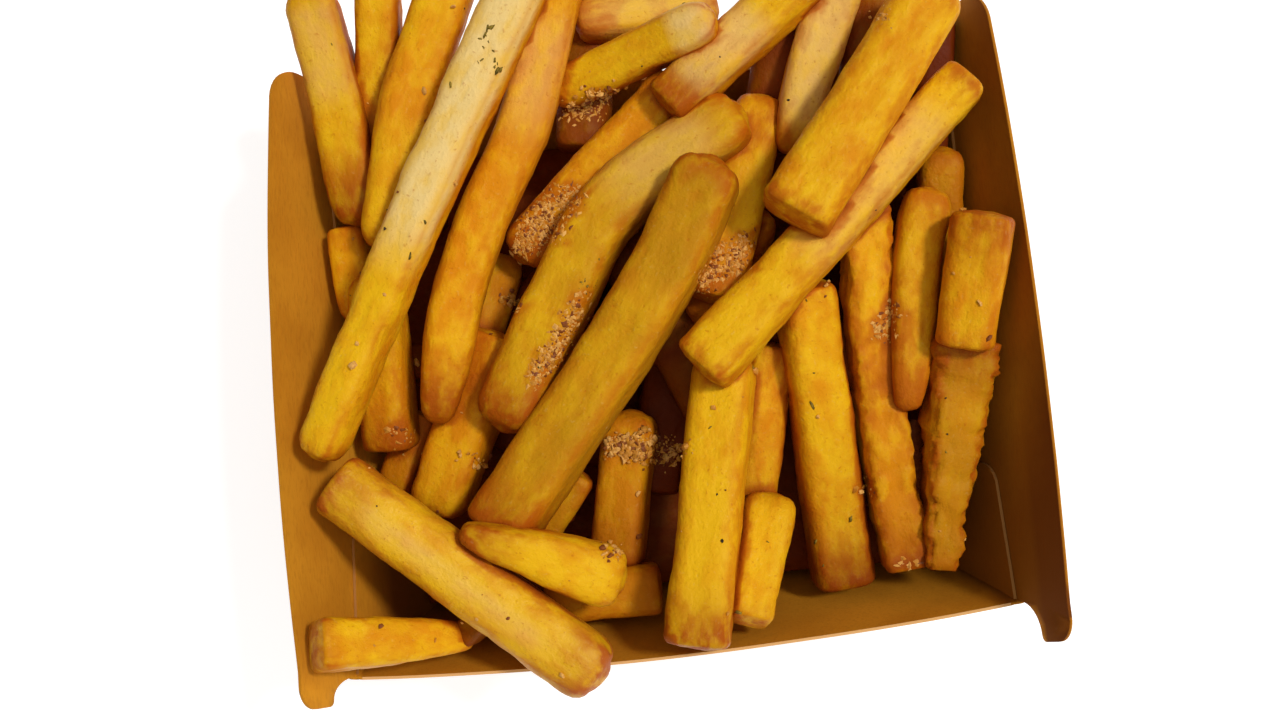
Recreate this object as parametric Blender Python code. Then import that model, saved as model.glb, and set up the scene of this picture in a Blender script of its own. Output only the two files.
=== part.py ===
# French fries heaped in an open tray folded from one piece of kraft board.
# Metres, +Z up, the tray's front towards -Y. The origin is the middle of the tray's underside.
#
# The tray has a flat base, low front and back walls, taller side walls whose rounded ears stand
# past the low rims, and corner tabs that fold from the low walls and lie glued to the side walls.
# The heap is one solid: a low core with every fry fused on. Where a fry lies is read from the
# picture at a few named pixels. The height of each end above the table is a first guess: all fries
# are then let down together, and pressed apart where they would sink into each other or the tray.

from collections import namedtuple
import math
import random

import bmesh
import bpy
import numpy as np
from mathutils import Euler, Matrix, Vector

MM = 0.001

# Tray: the inner faces of the walls, measured from the middle of the base
BOARD = 0.5 * MM
BASE_HALF_WIDTH = 39.9 * MM
BASE_HALF_DEPTH = 31.8 * MM
SIDE_FLARE = 0.355
END_FLARE = 0.362
SIDE_HEIGHT = 48.3 * MM
END_HEIGHT = 35.2 * MM
FRONT_LEFT_LEAN = 2.5 * MM
BOWS = {"left": 1.8 * MM, "right": 1.3 * MM, "front": 2.3 * MM, "back": 1.8 * MM}
FOLD_RADIUS = 0.7 * MM

# Ears of the side walls, at the front, -1, and at the back, 1
EAR_REACH = {-1: 50.6 * MM, 1: 51.4 * MM}
EAR_FILLET = {-1: 5.4 * MM, 1: 0.4 * MM}
EAR_UPPER_ROUND = {-1: 3.6 * MM, 1: 7.0 * MM}
EAR_LOWER_ROUND = 1.0 * MM

# Corner tabs, in the plane of the side walls
TAB_END = 22.0 * MM
TAB_DROP = 2.0 * MM
TAB_ROUND = 2.2 * MM
GLUE_OVERLAP = 0.15 * MM

# Core low in the tray, sloping up to the back
CORE_GAP = 0.9 * MM
CORE_LIFT = 0.5 * MM
CORE_FRONT_TOP = 15.0 * MM
CORE_BACK_TOP = 24.0 * MM
CORE_HALF_WIDTH = 38.5 * MM
CORE_HALF_DEPTH = 30.5 * MM

# Where the picture was taken from, and the picture's size in pixels
VIEW_POINT = Vector((10.2, -40.7, 273.4)) * MM
VIEW_TURN = Euler([math.radians(angle) for angle in (9.17, 3.94, -5.11)]).to_matrix()
FOCAL_PIXELS = 1500
MIDDLE_PIXEL = (640, 360)

# How close fries lie, as shares of the sum of their half widths and half heights
PRESS_WIDTH = 0.95
PRESS_HEIGHT = 0.82
WALL_GAP = 0.6 * MM
SAMPLES = 20
SETTLE_ROUNDS = 70
SETTLE_STEP = 0.35
SETTLE_DROP = 0.15 * MM
SETTLE_PULL = 0.03

# Each end: how long its narrowing is, and the share of the section left at the tip
ENDS = {"cut": (1.3 * MM, 0.80), "round": (3.6 * MM, 0.52), "taper": (17 * MM, 0.42)}
FRY_SIDES = 8
FRY_RINGS = 4
CORNER_SHARE = 0.58
THICKNESS_SHARE = 0.92
WIDTH_WOBBLE = 0.05

# Hidden fries between the core and the ones that show
UNDER_COUNT = 9
UNDER_SEED = 11
UNDER_LENGTH = (44 * MM, 60 * MM)
UNDER_WIDTH = (8.2 * MM, 9.6 * MM)
UNDER_HALF_WIDTH = 38 * MM
UNDER_BACK = 34 * MM
UNDER_FRONT = -22 * MM
UNDER_HEIGHTS = (24 * MM, 28 * MM)
UNDER_TOP = 32 * MM

# name, pixels along the fry, then for its first and last pixel: width and height above the table
# in mm, and the shape of the end
Fry = namedtuple("Fry", "name way widths heights ends")

FRIES = [
    Fry("left_wall_stub", [(348, 228), (362, 320)], (6.0, 6.0), (36, 33), ("cut", "round")),
    Fry("short_back_left", [(377, -52), (384, 190)], (7.2, 7.4), (43, 33), ("round", "cut")),
    Fry("back_low_left", [(594, -34), (582, 150)], (8.4, 8.6), (40, 31), ("round", "cut")),
    Fry("back_low_middle", [(790, -30), (764, 150)], (8.2, 8.6), (41, 31), ("round", "cut")),
    Fry("back_low_right", [(875, -48), (859, 130)], (8.4, 8.6), (41, 31), ("round", "cut")),
    Fry("behind_back", [(578, 22), (716, 10)], (6.8, 6.6), (41, 43), ("round", "round")),
    Fry("under_middle_left", [(508, 258), (480, 348)], (6.6, 6.2), (30, 29), ("round", "round")),
    Fry("orange_middle", [(762, 100), (716, 300)], (8.4, 8.4), (38, 35), ("round", "cut")),
    Fry("crumbed_middle", [(762, 214), (700, 322)], (7.4, 7.0), (33, 31), ("round", "round")),
    Fry("under_right", [(942, 150), (934, 300)], (7.2, 7.2), (35, 29), ("round", "cut")),
    Fry("small_left", [(424, 414), (394, 494)], (6.6, 5.8), (31, 27.5), ("cut", "round")),
    Fry("under_wedge", [(546, 600), (660, 588)], (7.6, 8.4), (29, 28), ("round", "cut")),
    Fry("short_front", [(770, 345), (754, 506)], (7.2, 7.0), (31, 26), ("cut", "round")),
    Fry("orange_front", [(632, 414), (618, 562)], (8.6, 8.2), (33, 28), ("round", "cut")),
    Fry("small_front", [(578, 472), (533, 548)], (6.4, 5.6), (31, 28), ("cut", "round")),
    Fry("back_left", [(309, -8), (331, 74), (364, 222)], (8.2, 8.6), (44, 33), ("round", "round")),
    Fry("left_fork", [(376, 275), (392, 448)], (8.2, 8.6), (38, 32), ("round", "cut")),
    Fry("lower_left", [(498, 335), (437, 512)], (9.8, 9.4), (35, 32), ("cut", "round")),
    Fry("pale_back", [(556, 94), (712, 18)], (7.0, 7.4), (42, 48), ("round", "round")),
    Fry("crumbed_brown", [(676, 84), (520, 256)], (7.6, 8.8), (38, 34), ("cut", "round")),
    Fry("right_bent", [(929, 190), (914, 270), (907, 408)], (7.4, 7.0), (41, 30), ("round", "taper")),
    Fry("right_leaning", [(862, 205), (878, 400), (907, 566)], (7.8, 7.6), (40, 20), ("cut", "cut")),
    Fry("front_short_bright", [(772, 498), (749, 622)], (9.2, 6.6), (31, 32), ("round", "cut")),
    Fry("front_left_low", [(316, 645), (470, 637)], (8.0, 6.4), (43, 34), ("cut", "taper")),
    Fry("left_long", [(470, -78), (411, 100), (388, 248)], (9.6, 9.4), (47, 40), ("cut", "round")),
    Fry("left_orange", [(563, -46), (527, 115), (466, 265), (437, 420)], (8.6, 8.4), (45, 37), ("cut", "taper")),
    Fry("middle_olive", [(740, 114), (617, 202), (560, 300), (504, 426)], (10.0, 10.2), (45, 42), ("round", "round")),
    Fry("right_square", [(984, 214), (964, 346)], (9.4, 9.2), (43, 39), ("cut", "cut")),
    Fry("right_crusty", [(964, 338), (953, 420), (938, 566)], (11.0, 5.2), (42, 21), ("cut", "cut")),
    Fry("front_right", [(803, 285), (843, 582)], (9.0, 9.8), (42, 24), ("cut", "cut")),
    Fry("front_middle", [(726, 355), (697, 646)], (9.6, 10.2), (42, 37), ("round", "cut")),
    Fry("back_square", [(666, 106), (818, -32)], (8.0, 8.2), (47, 46), ("cut", "round")),
    Fry("back_pale_right", [(850, -62), (787, 150)], (9.0, 7.6), (47, 40), ("round", "taper")),
    Fry("long_frosted", [(533, -44), (424, 200), (318, 456)], (9.4, 7.0), (53, 47), ("cut", "round")),
    Fry("middle_big", [(714, 162), (645, 305), (498, 532)], (10.4, 10.6), (54, 43), ("round", "cut")),
    Fry("front_glossy", [(336, 482), (600, 677)], (10.4, 10.6), (45, 43), ("cut", "round")),
    Fry("top_bright", [(966, 78), (845, 212), (700, 367)], (7.4, 9.8), (50, 50), ("cut", "cut")),
    Fry("back_big", [(934, -10), (794, 218)], (10.8, 11.4), (54, 51), ("round", "cut")),
    Fry("wedge", [(462, 532), (620, 580)], (5.5, 10.6), (46, 40), ("taper", "round")),
]

# Short fries hidden below others, which carry them and are not moved by the settling
PROPS = [
    Fry("left_prop", [(396, 205), (436, 222)], (7.0, 7.0), (38, 19), ("round", "cut")),
    Fry("fork_prop", [(386, 368), (474, 357)], (5.8, 6.4), (33.5, 25), ("round", "cut")),
    Fry("right_prop", [(936, 232), (890, 240)], (6.6, 6.6), (34, 20), ("round", "cut")),
    Fry("front_prop", [(556, 512), (562, 500)], (6.0, 6.0), (27, 14), ("round", "cut")),
    Fry("front_left_prop", [(465, 636), (498, 602)], (4.4, 5.0), (36.2, 41.5), ("cut", "cut")),
    Fry("glossy_prop", [(470, 580), (480, 560)], (6.6, 6.6), (40, 14), ("round", "cut")),
    Fry("crusty_prop", [(950, 400), (905, 396)], (6.6, 6.6), (36, 18), ("round", "cut")),
    Fry("corner_prop", [(937, 14), (926, 165)], (6.4, 6.4), (40, 34.5), ("round", "cut")),
]


def new_object(name, mesh, material=None):
    thing = bpy.data.objects.new(name, mesh)
    bpy.context.scene.collection.objects.link(thing)
    if material:
        mesh.materials.clear()
        mesh.materials.append(material)
    return thing


def mesh_from(bm, name):
    mesh = bpy.data.meshes.new(name)
    bm.to_mesh(mesh)
    bm.free()
    return mesh


def plain_material(name, colour, roughness):
    material = bpy.data.materials.new(name)
    material.use_nodes = True
    shader = material.node_tree.nodes["Principled BSDF"]
    shader.inputs["Base Color"].default_value = (*colour, 1)
    shader.inputs["Roughness"].default_value = roughness
    shader.inputs["Metallic"].default_value = 0
    return material


# Tray

def rim_half_depth(side, end):
    """How far from the middle a low wall's rim ends, at the side wall it meets."""
    lean = FRONT_LEFT_LEAN if (side, end) == (-1, -1) else 0
    return BASE_HALF_DEPTH + END_FLARE * (END_HEIGHT - BOARD) + lean


def side_inset(height):
    return BASE_HALF_WIDTH + SIDE_FLARE * (height - BOARD)


def bowed(point):
    """Push a point of a wall outwards, most at the middle of its rim."""
    x, y, z = point
    rise = (z - BOARD) / SIDE_HEIGHT
    if abs(x) > BASE_HALF_WIDTH and abs(x) >= side_inset(z) - BOARD:
        along = 1 - (y / (BASE_HALF_DEPTH + END_FLARE * END_HEIGHT)) ** 2
        reach = BOWS["left" if x < 0 else "right"]
        x += math.copysign(reach * max(along, 0) * max(rise, 0) ** 1.5, x)
    elif abs(y) > BASE_HALF_DEPTH:
        along = 1 - (x / side_inset(z)) ** 2
        reach = BOWS["front" if y < 0 else "back"]
        rise *= SIDE_HEIGHT / END_HEIGHT
        y += math.copysign(reach * max(along, 0) * max(rise, 0) ** 1.5, y)
    return Vector((x, y, z))


def arc(centre, radius, start, stop, steps):
    """Points of a circle's arc in a side wall's plane, as depth and height."""
    turns = [math.radians(start + (stop - start) * step / steps) for step in range(steps + 1)]
    return [(centre[0] + radius * math.cos(turn), centre[1] + radius * math.sin(turn)) for turn in turns]


def ear_outline(side, end):
    """From a low rim's corner round the ear to the side wall's top edge, as depth and height."""
    corner = rim_half_depth(side, end)
    rise, rounding = EAR_FILLET[end], EAR_UPPER_ROUND[end]
    reach = max(EAR_REACH[end], corner + rise * 0.75)
    fillet = min(rise, reach - corner - EAR_LOWER_ROUND)
    lower = END_HEIGHT + rise + EAR_LOWER_ROUND
    points = [(corner, END_HEIGHT)]
    for step in range(1, 5):
        turn = math.radians(90 * step / 4)
        points.append((corner + fillet * (1 - math.cos(turn)), END_HEIGHT + rise * math.sin(turn)))
    points += arc((reach - EAR_LOWER_ROUND, lower), EAR_LOWER_ROUND, -90, 0, 2)[1:]
    points += arc((reach - rounding, SIDE_HEIGHT - rounding), rounding, 0, 90, 4)
    return points


def cut_in_bands(bm):
    """Cut the sheet by evenly spaced planes, so that the walls can bow."""
    cuts = [((x * MM, 0, 0), (1, 0, 0)) for x in range(-36, 37, 12)]
    cuts += [((0, y * MM, 0), (0, 1, 0)) for y in range(-30, 31, 10)]
    cuts += [((0, 0, z * MM), (0, 0, 1)) for z in (12, 24)]
    for place, direction in cuts:
        geometry = bm.verts[:] + bm.edges[:] + bm.faces[:]
        bmesh.ops.bisect_plane(bm, geom=geometry, plane_co=place, plane_no=direction)


def folded_sheet():
    """The base and four walls as one open sheet, at the board's inner face."""
    bm = bmesh.new()
    base = {}
    rim = {}
    for side in (-1, 1):
        for end in (-1, 1):
            base[side, end] = bm.verts.new((side * BASE_HALF_WIDTH, end * BASE_HALF_DEPTH, BOARD))
            corner = (side * side_inset(END_HEIGHT), end * rim_half_depth(side, end), END_HEIGHT)
            rim[side, end] = bm.verts.new(corner)
    bm.faces.new([base[-1, -1], base[1, -1], base[1, 1], base[-1, 1]])
    for end in (-1, 1):
        bm.faces.new([base[-1, end], rim[-1, end], rim[1, end], base[1, end]])
    for side in (-1, 1):
        edge = [base[side, -1], rim[side, -1]]
        for depth, height in ear_outline(side, -1)[1:]:
            edge.append(bm.verts.new((side * side_inset(height), -depth, height)))
        for depth, height in reversed(ear_outline(side, 1)[1:]):
            edge.append(bm.verts.new((side * side_inset(height), depth, height)))
        edge += [rim[side, 1], base[side, 1]]
        bm.faces.new(edge)
    bmesh.ops.recalc_face_normals(bm, faces=bm.faces)
    folds = [edge for edge in bm.edges if len(edge.link_faces) == 2]
    bmesh.ops.bevel(bm, geom=folds, affect="EDGES", offset=FOLD_RADIUS, segments=2, profile=0.5,
                    material=-1)
    cut_in_bands(bm)
    for vert in bm.verts:
        vert.co = bowed(vert.co)
    return bm


def faces_look_in(bm):
    """Turn the sheet's faces so that the base looks up."""
    base = min(bm.faces, key=lambda face: face.calc_center_median().z)
    if base.normal.z < 0:
        bmesh.ops.reverse_faces(bm, faces=bm.faces)


def tab_solid(side, end):
    """A corner tab, glued flat to a side wall's inner face and reaching just into its corner."""
    corner_low = (BASE_HALF_DEPTH + GLUE_OVERLAP, BOARD - GLUE_OVERLAP)
    corner_high = (rim_half_depth(side, end) + GLUE_OVERLAP, END_HEIGHT - GLUE_OVERLAP)
    top = END_HEIGHT - TAB_DROP
    outline = [corner_low, corner_high]
    outline += arc((TAB_END + TAB_ROUND, top - TAB_ROUND), TAB_ROUND, 90, 180, 4)
    outline.append((TAB_END, BOARD - GLUE_OVERLAP))
    bm = bmesh.new()
    verts = []
    for depth, height in outline:
        verts.append(bm.verts.new((side * (side_inset(height) + GLUE_OVERLAP), end * depth, height)))
    bm.faces.new(verts)
    cut_in_bands(bm)
    for vert in bm.verts:
        vert.co = bowed(vert.co)
    bm.normal_update()
    if bm.faces[:][0].normal.x * side < 0:
        bmesh.ops.reverse_faces(bm, faces=bm.faces)
    bmesh.ops.solidify(bm, geom=bm.faces[:], thickness=BOARD + GLUE_OVERLAP)
    bmesh.ops.recalc_face_normals(bm, faces=bm.faces)
    return new_object("tab", mesh_from(bm, "tab"))


def make_tray(material):
    bm = folded_sheet()
    faces_look_in(bm)
    bmesh.ops.solidify(bm, geom=bm.faces[:], thickness=BOARD)
    bmesh.ops.recalc_face_normals(bm, faces=bm.faces)
    tray = new_object("carton", mesh_from(bm, "carton"), material)
    tabs = [tab_solid(side, end) for side in (-1, 1) for end in (-1, 1)]
    fuse(tray, tabs)
    tray.data.shade_smooth()
    tray.data.set_sharp_from_angle(angle=math.radians(25))
    return tray


# Joining

def outer_shell(mesh):
    """Keep the largest closed shell, so that sealed hollows and loose scraps go."""
    bm = bmesh.new()
    bm.from_mesh(mesh)
    bmesh.ops.triangulate(bm, faces=bm.faces)
    bmesh.ops.remove_doubles(bm, verts=bm.verts, dist=2e-6)
    bmesh.ops.dissolve_degenerate(bm, edges=bm.edges, dist=1e-6)
    unseen = set(bm.faces)
    shells = []
    while unseen:
        shell = set()
        front = [unseen.pop()]
        while front:
            face = front.pop()
            shell.add(face)
            for edge in face.edges:
                for other in edge.link_faces:
                    if other in unseen:
                        unseen.remove(other)
                        front.append(other)
        shells.append(shell)
    largest = max(shells, key=len)
    spare = [face for shell in shells if shell is not largest for face in shell]
    bmesh.ops.delete(bm, geom=spare, context="FACES")
    bm.to_mesh(mesh)
    bm.free()


def fuse(base, pieces):
    """Join the pieces to the base by one Boolean union, applied, and remove them."""
    group = bpy.data.collections.new("joined to " + base.name)
    bpy.context.scene.collection.children.link(group)
    for piece in pieces:
        group.objects.link(piece)
        bpy.context.scene.collection.objects.unlink(piece)
    union = base.modifiers.new("union", "BOOLEAN")
    union.operation = "UNION"
    union.operand_type = "COLLECTION"
    union.collection = group
    union.solver = "EXACT"
    graph = bpy.context.evaluated_depsgraph_get()
    joined = bpy.data.meshes.new_from_object(base.evaluated_get(graph))
    base.modifiers.clear()
    base.data = joined
    for piece in pieces:
        bpy.data.objects.remove(piece)
    bpy.data.collections.remove(group)
    outer_shell(joined)


# Fries

def spot(pixel, height):
    """The point at a height above the table that shows at a pixel of the picture."""
    ray = VIEW_TURN @ Vector((pixel[0] - MIDDLE_PIXEL[0], MIDDLE_PIXEL[1] - pixel[1], -FOCAL_PIXELS))
    return VIEW_POINT + ray * ((height - VIEW_POINT.z) / ray.z)


def along_way(way, share):
    """A smooth curve through the way's points, at a share of its length."""
    points = [Vector(point) for point in way]
    points = [points[0] * 2 - points[1]] + points + [points[-1] * 2 - points[-2]]
    lengths = [(points[i + 1] - points[i]).length for i in range(1, len(points) - 2)]
    left = share * sum(lengths)
    part = 0
    while part < len(lengths) - 1 and left > lengths[part]:
        left -= lengths[part]
        part += 1
    t = left / lengths[part]
    before, start, stop, after = points[part:part + 4]
    curve = (start * 2 + (stop - before) * t + (before * 2 - start * 5 + stop * 4 - after) * t ** 2
             + (start * 3 - before - stop * 3 + after) * t ** 3)
    return curve / 2


class Bar:
    """A fry's way at its present heights: shown by pixels, or hidden and placed in metres."""

    def __init__(self, name, way, widths, heights, ends, hidden=False):
        self.name = name
        self.way = way
        self.widths = widths
        self.heights = list(heights)
        self.guesses = heights
        self.ends = ends
        self.hidden = hidden

    def centre(self, share):
        height = self.heights[0] + (self.heights[1] - self.heights[0]) * share
        place = along_way(self.way, share)
        if self.hidden:
            return Vector((place[0], place[1], height))
        return spot(place, height)

    def length(self):
        return (self.centre(1) - self.centre(0)).length

    def size(self, share):
        """Half width and half height at a share of the length, narrowed towards the ends."""
        length = self.length()
        width = self.widths[0] + (self.widths[1] - self.widths[0]) * share
        thick = THICKNESS_SHARE * sum(self.widths) / 2
        thick = min(thick, width * 1.15)
        narrow = 1
        for kind, distance in zip(self.ends, (share * length, (1 - share) * length)):
            reach, tip = ENDS[kind]
            if distance < reach:
                narrow = min(narrow, tip + (1 - tip) * math.sqrt(1 - (1 - distance / reach) ** 2))
        return width / 2 * narrow, thick / 2 * narrow

    def samples(self):
        inset = min(0.4 * sum(self.widths) / 2 / self.length(), 0.3)
        shares = [inset + (1 - 2 * inset) * step / (SAMPLES - 1) for step in range(SAMPLES)]
        rows = [(share, *self.centre(share), *self.size(share)) for share in shares]
        return np.array(rows)


def wall_limit(out, base, flare, rim, radius):
    """Lowest height of a round bar's middle that clears a wall, at a distance out from the middle."""
    lean = math.sqrt(1 + flare ** 2)
    on_wall = (out - base + radius * lean) / flare
    if on_wall - radius * flare / lean <= rim:
        return on_wall
    past = out - (base + flare * rim)
    if abs(past) < radius:
        return rim + math.sqrt(radius ** 2 - past ** 2)
    return 0


def tray_limit(x, y, radius):
    """Lowest height of a bar's middle inside the tray, or over its walls."""
    low = radius
    reach = radius + WALL_GAP
    if abs(y) < EAR_REACH[-1] + reach:
        low = max(low, wall_limit(abs(x), BASE_HALF_WIDTH - 2 * BOARD, SIDE_FLARE, SIDE_HEIGHT, reach))
    if abs(x) < side_inset(END_HEIGHT) + reach:
        low = max(low, wall_limit(abs(y), BASE_HALF_DEPTH, END_FLARE, END_HEIGHT, reach))
    if abs(x) < CORE_HALF_WIDTH and abs(y) < CORE_HALF_DEPTH:
        low = max(low, core_top(y) + radius * PRESS_HEIGHT)
    return low


def core_top(y):
    share = (y + CORE_HALF_DEPTH) / (2 * CORE_HALF_DEPTH)
    return CORE_FRONT_TOP + (CORE_BACK_TOP - CORE_FRONT_TOP) * share


def shift(bar, share, rise):
    """Raise a bar by an amount at a share of its length, and its far end by less."""
    lever = (1 - share) ** 2 + share ** 2
    bar.heights[0] += rise * (1 - share) / lever
    bar.heights[1] += rise * share / lever


def settle(bars):
    """Let the bars down little by little, and press them apart where they sink into each other."""
    above = {}
    for turn in range(SETTLE_ROUNDS):
        drop = SETTLE_DROP * (1 - turn / SETTLE_ROUNDS)
        for bar in bars:
            bar.heights = [height + (first - height) * SETTLE_PULL - drop
                           for height, first in zip(bar.heights, bar.guesses)]
        rows = [bar.samples() for bar in bars]
        for upper in range(len(bars)):
            for lower in range(upper):
                own, other = rows[upper], rows[lower]
                apart = np.hypot(own[:, 1, None] - other[:, 1], own[:, 2, None] - other[:, 2])
                wide = PRESS_WIDTH * (own[:, 4, None] + other[:, 4])
                if (apart >= wide).all():
                    continue
                high = PRESS_HEIGHT * (own[:, 5, None] + other[:, 5])
                need = high * np.sqrt(np.clip(1 - (apart / wide) ** 2, 0, None))
                rise = own[:, 3, None] - other[:, 3]
                if (upper, lower) not in above:
                    above[upper, lower] = 1 if (rise * need).sum() > 0 else -1
                sign = above[upper, lower]
                sunk = np.where(need > 0, need - sign * rise, -1)
                here, there = np.unravel_index(sunk.argmax(), sunk.shape)
                push = max(sunk[here, there], 0) * SETTLE_STEP * sign
                shift(bars[upper], own[here, 0], push)
                shift(bars[lower], other[there, 0], -push)
        for bar in bars:
            row = bar.samples()
            radii = (row[:, 4] + row[:, 5]) / 2
            limits = np.array([tray_limit(x, y, r) for x, y, r in zip(row[:, 1], row[:, 2], radii)])
            sunk = limits - row[:, 3]
            worst = sunk.argmax()
            if sunk[worst] > 0:
                shift(bar, row[worst, 0], sunk[worst])
            if bar.hidden:
                bar.heights = [min(height, UNDER_TOP) for height in bar.heights]


def hidden_bars():
    """Fries below the ones that show, in layers over the core, by a seeded draw."""
    draw = random.Random(UNDER_SEED)
    bars = []
    for number in range(UNDER_COUNT):
        height = UNDER_HEIGHTS[number % len(UNDER_HEIGHTS)]
        turn = math.pi * ((number * 0.618) % 1) + draw.uniform(-0.2, 0.2)
        half = draw.uniform(*UNDER_LENGTH) / 2
        reach = Vector((math.cos(turn), math.sin(turn))) * half
        span_x = UNDER_HALF_WIDTH - abs(reach.x)
        middle_x = draw.uniform(-1, 1) * max(span_x, 0)
        low_y, high_y = UNDER_FRONT + abs(reach.y), UNDER_BACK - abs(reach.y)
        middle_y = draw.uniform(low_y, high_y) if low_y < high_y else (low_y + high_y) / 2
        middle = Vector((middle_x, middle_y))
        width = draw.uniform(*UNDER_WIDTH)
        way = [tuple(middle - reach), tuple(middle + reach)]
        name = "hidden_%02d" % number
        bars.append(Bar(name, way, (width, width), (height, height), ("cut", "round"), hidden=True))
    return bars


def bars_from(table):
    bars = []
    for fry in table:
        widths = [width * MM for width in fry.widths]
        heights = [height * MM for height in fry.heights]
        bars.append(Bar(fry.name, fry.way, widths, heights, fry.ends))
    return bars


def fry_solid(bar, draw):
    """A closed eight-sided bar along its way, with flat sides, cut corners and narrowed ends."""
    length = bar.length()
    start, stop = [min(ENDS[kind][0] / length, 0.35) for kind in bar.ends]
    shares = [start * 0.35, start]
    shares += [start + (1 - start - stop) * step / FRY_RINGS for step in range(1, FRY_RINGS)]
    shares += [1 - stop, 1 - stop * 0.35]
    wobble = {round(share, 6): 1 + draw.uniform(-WIDTH_WOBBLE, WIDTH_WOBBLE) for share in [0, 1] + shares}
    bm = bmesh.new()
    quarter = Matrix.Rotation(math.pi / FRY_SIDES, 4, "Z")
    bmesh.ops.create_cone(bm, cap_ends=True, cap_tris=False, segments=FRY_SIDES, radius1=1, radius2=1,
                          depth=1, matrix=quarter)
    for share in shares:
        geometry = bm.verts[:] + bm.edges[:] + bm.faces[:]
        bmesh.ops.bisect_plane(bm, geom=geometry, plane_co=(0, 0, share - 0.5), plane_no=(0, 0, 1))
    roll = math.radians(draw.uniform(-14, 14))
    for vert in bm.verts:
        share = vert.co.z + 0.5
        flat = [math.copysign(1 if abs(value) > 0.6 else CORNER_SHARE, value) for value in vert.co.xy]
        across, up = Matrix.Rotation(roll, 2) @ Vector(flat)
        half_width, half_height = bar.size(share)
        grow = wobble[min(wobble, key=lambda known: abs(known - share))]
        ahead = (bar.centre(min(share + 0.02, 1)) - bar.centre(max(share - 0.02, 0))).normalized()
        beside = ahead.cross(Vector((0, 0, 1))).normalized()
        above = beside.cross(ahead)
        vert.co = bar.centre(share) + (beside * across * half_width + above * up * half_height) * grow
    bmesh.ops.recalc_face_normals(bm, faces=bm.faces)
    return new_object(bar.name, mesh_from(bm, bar.name))


def core_solid(material):
    """A block low in the tray, clear of its walls, with its top sloping up to the back."""
    bm = bmesh.new()
    bmesh.ops.create_cube(bm, size=2)
    bottom = BOARD + CORE_LIFT
    for vert in bm.verts:
        side, end, level = vert.co
        height = bottom if level < 0 else core_top(end * CORE_HALF_DEPTH)
        half_width = side_inset(height) - BOARD - CORE_GAP
        half_depth = BASE_HALF_DEPTH + END_FLARE * (height - BOARD) - CORE_GAP
        vert.co = (side * half_width, end * half_depth, height)
    bmesh.ops.bevel(bm, geom=bm.edges[:], affect="EDGES", offset=2 * MM, segments=1, profile=0.5,
                    material=-1)
    return new_object("fries", mesh_from(bm, "fries"), material)


def make_heap(material):
    bars = hidden_bars() + bars_from(FRIES)
    settle(bars)
    bars += bars_from(PROPS)
    draw = random.Random(UNDER_SEED + 1)
    core = core_solid(material)
    fuse(core, [fry_solid(bar, draw) for bar in bars])
    core.data.materials.clear()
    core.data.materials.append(material)
    return core


def main():
    for thing in list(bpy.data.objects):
        bpy.data.objects.remove(thing)
    kraft = plain_material("kraft_board", (0.42, 0.22, 0.07), 0.85)
    potato = plain_material("fried_potato", (0.72, 0.43, 0.06), 0.55)
    make_tray(kraft)
    make_heap(potato)


main()
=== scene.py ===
import math
import random
from collections import namedtuple

import bmesh
import bpy
import numpy as np
from mathutils import Euler, Matrix, Vector, noise
from mathutils.bvhtree import BVHTree
from mathutils.kdtree import KDTree


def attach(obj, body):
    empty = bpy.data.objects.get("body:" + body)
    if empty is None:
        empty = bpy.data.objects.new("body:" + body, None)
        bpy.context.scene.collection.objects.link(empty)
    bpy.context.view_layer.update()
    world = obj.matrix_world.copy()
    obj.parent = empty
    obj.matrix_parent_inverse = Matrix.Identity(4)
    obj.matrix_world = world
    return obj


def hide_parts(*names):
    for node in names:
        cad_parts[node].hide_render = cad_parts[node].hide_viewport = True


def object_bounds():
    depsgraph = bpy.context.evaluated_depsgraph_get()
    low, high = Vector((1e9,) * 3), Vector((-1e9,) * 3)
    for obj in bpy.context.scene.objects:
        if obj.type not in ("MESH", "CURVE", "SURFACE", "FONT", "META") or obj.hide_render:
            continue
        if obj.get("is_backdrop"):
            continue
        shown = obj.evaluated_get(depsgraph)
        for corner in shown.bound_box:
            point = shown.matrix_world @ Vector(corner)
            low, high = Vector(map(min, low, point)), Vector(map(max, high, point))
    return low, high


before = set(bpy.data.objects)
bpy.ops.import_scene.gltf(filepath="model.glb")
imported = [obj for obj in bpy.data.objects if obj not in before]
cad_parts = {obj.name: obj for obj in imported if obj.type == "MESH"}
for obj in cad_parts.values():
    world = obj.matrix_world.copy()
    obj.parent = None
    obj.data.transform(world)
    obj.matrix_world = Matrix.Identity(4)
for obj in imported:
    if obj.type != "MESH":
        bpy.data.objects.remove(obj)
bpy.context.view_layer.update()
mm = 0.001

# the camera, and the size of the picture in pixels
shot = dict(
    place=(10.2, -40.7, 273.4),      # mm
    turn=(9.17, 3.94, -5.11),        # degrees
    focalPixels=1500,
    middle=(640, 360),
    pictureWidth=1280,
    sensorWidth=36,
    clip=(0.01, 20),
)

viewPoint = Vector(shot["place"]) * mm
viewTurn = Euler([math.radians(angle) for angle in shot["turn"]]).to_matrix()


def viewRay(pixel):
    middle = shot["middle"]
    return viewTurn @ Vector((pixel[0] - middle[0], middle[1] - pixel[1], -shot["focalPixels"]))


def spot(pixel, height):
    # the point at a height above the table that shows at a pixel
    ray = viewRay(pixel)
    return viewPoint + ray * ((height - viewPoint.z) / ray.z)


# Materials

def newMaterial(name, roughness=0.5, specular=0.5):
    material = bpy.data.materials.new(name)
    material.use_nodes = True
    shader = material.node_tree.nodes["Principled BSDF"]
    shader.inputs["Roughness"].default_value = roughness
    shader.inputs["Specular IOR Level"].default_value = specular
    return material, material.node_tree, shader


def addNode(tree, kind, **values):
    node = tree.nodes.new(kind)
    for name, value in values.items():
        if name in node.inputs:
            node.inputs[name].default_value = value
        else:
            setattr(node, name, value)
    return node


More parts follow.
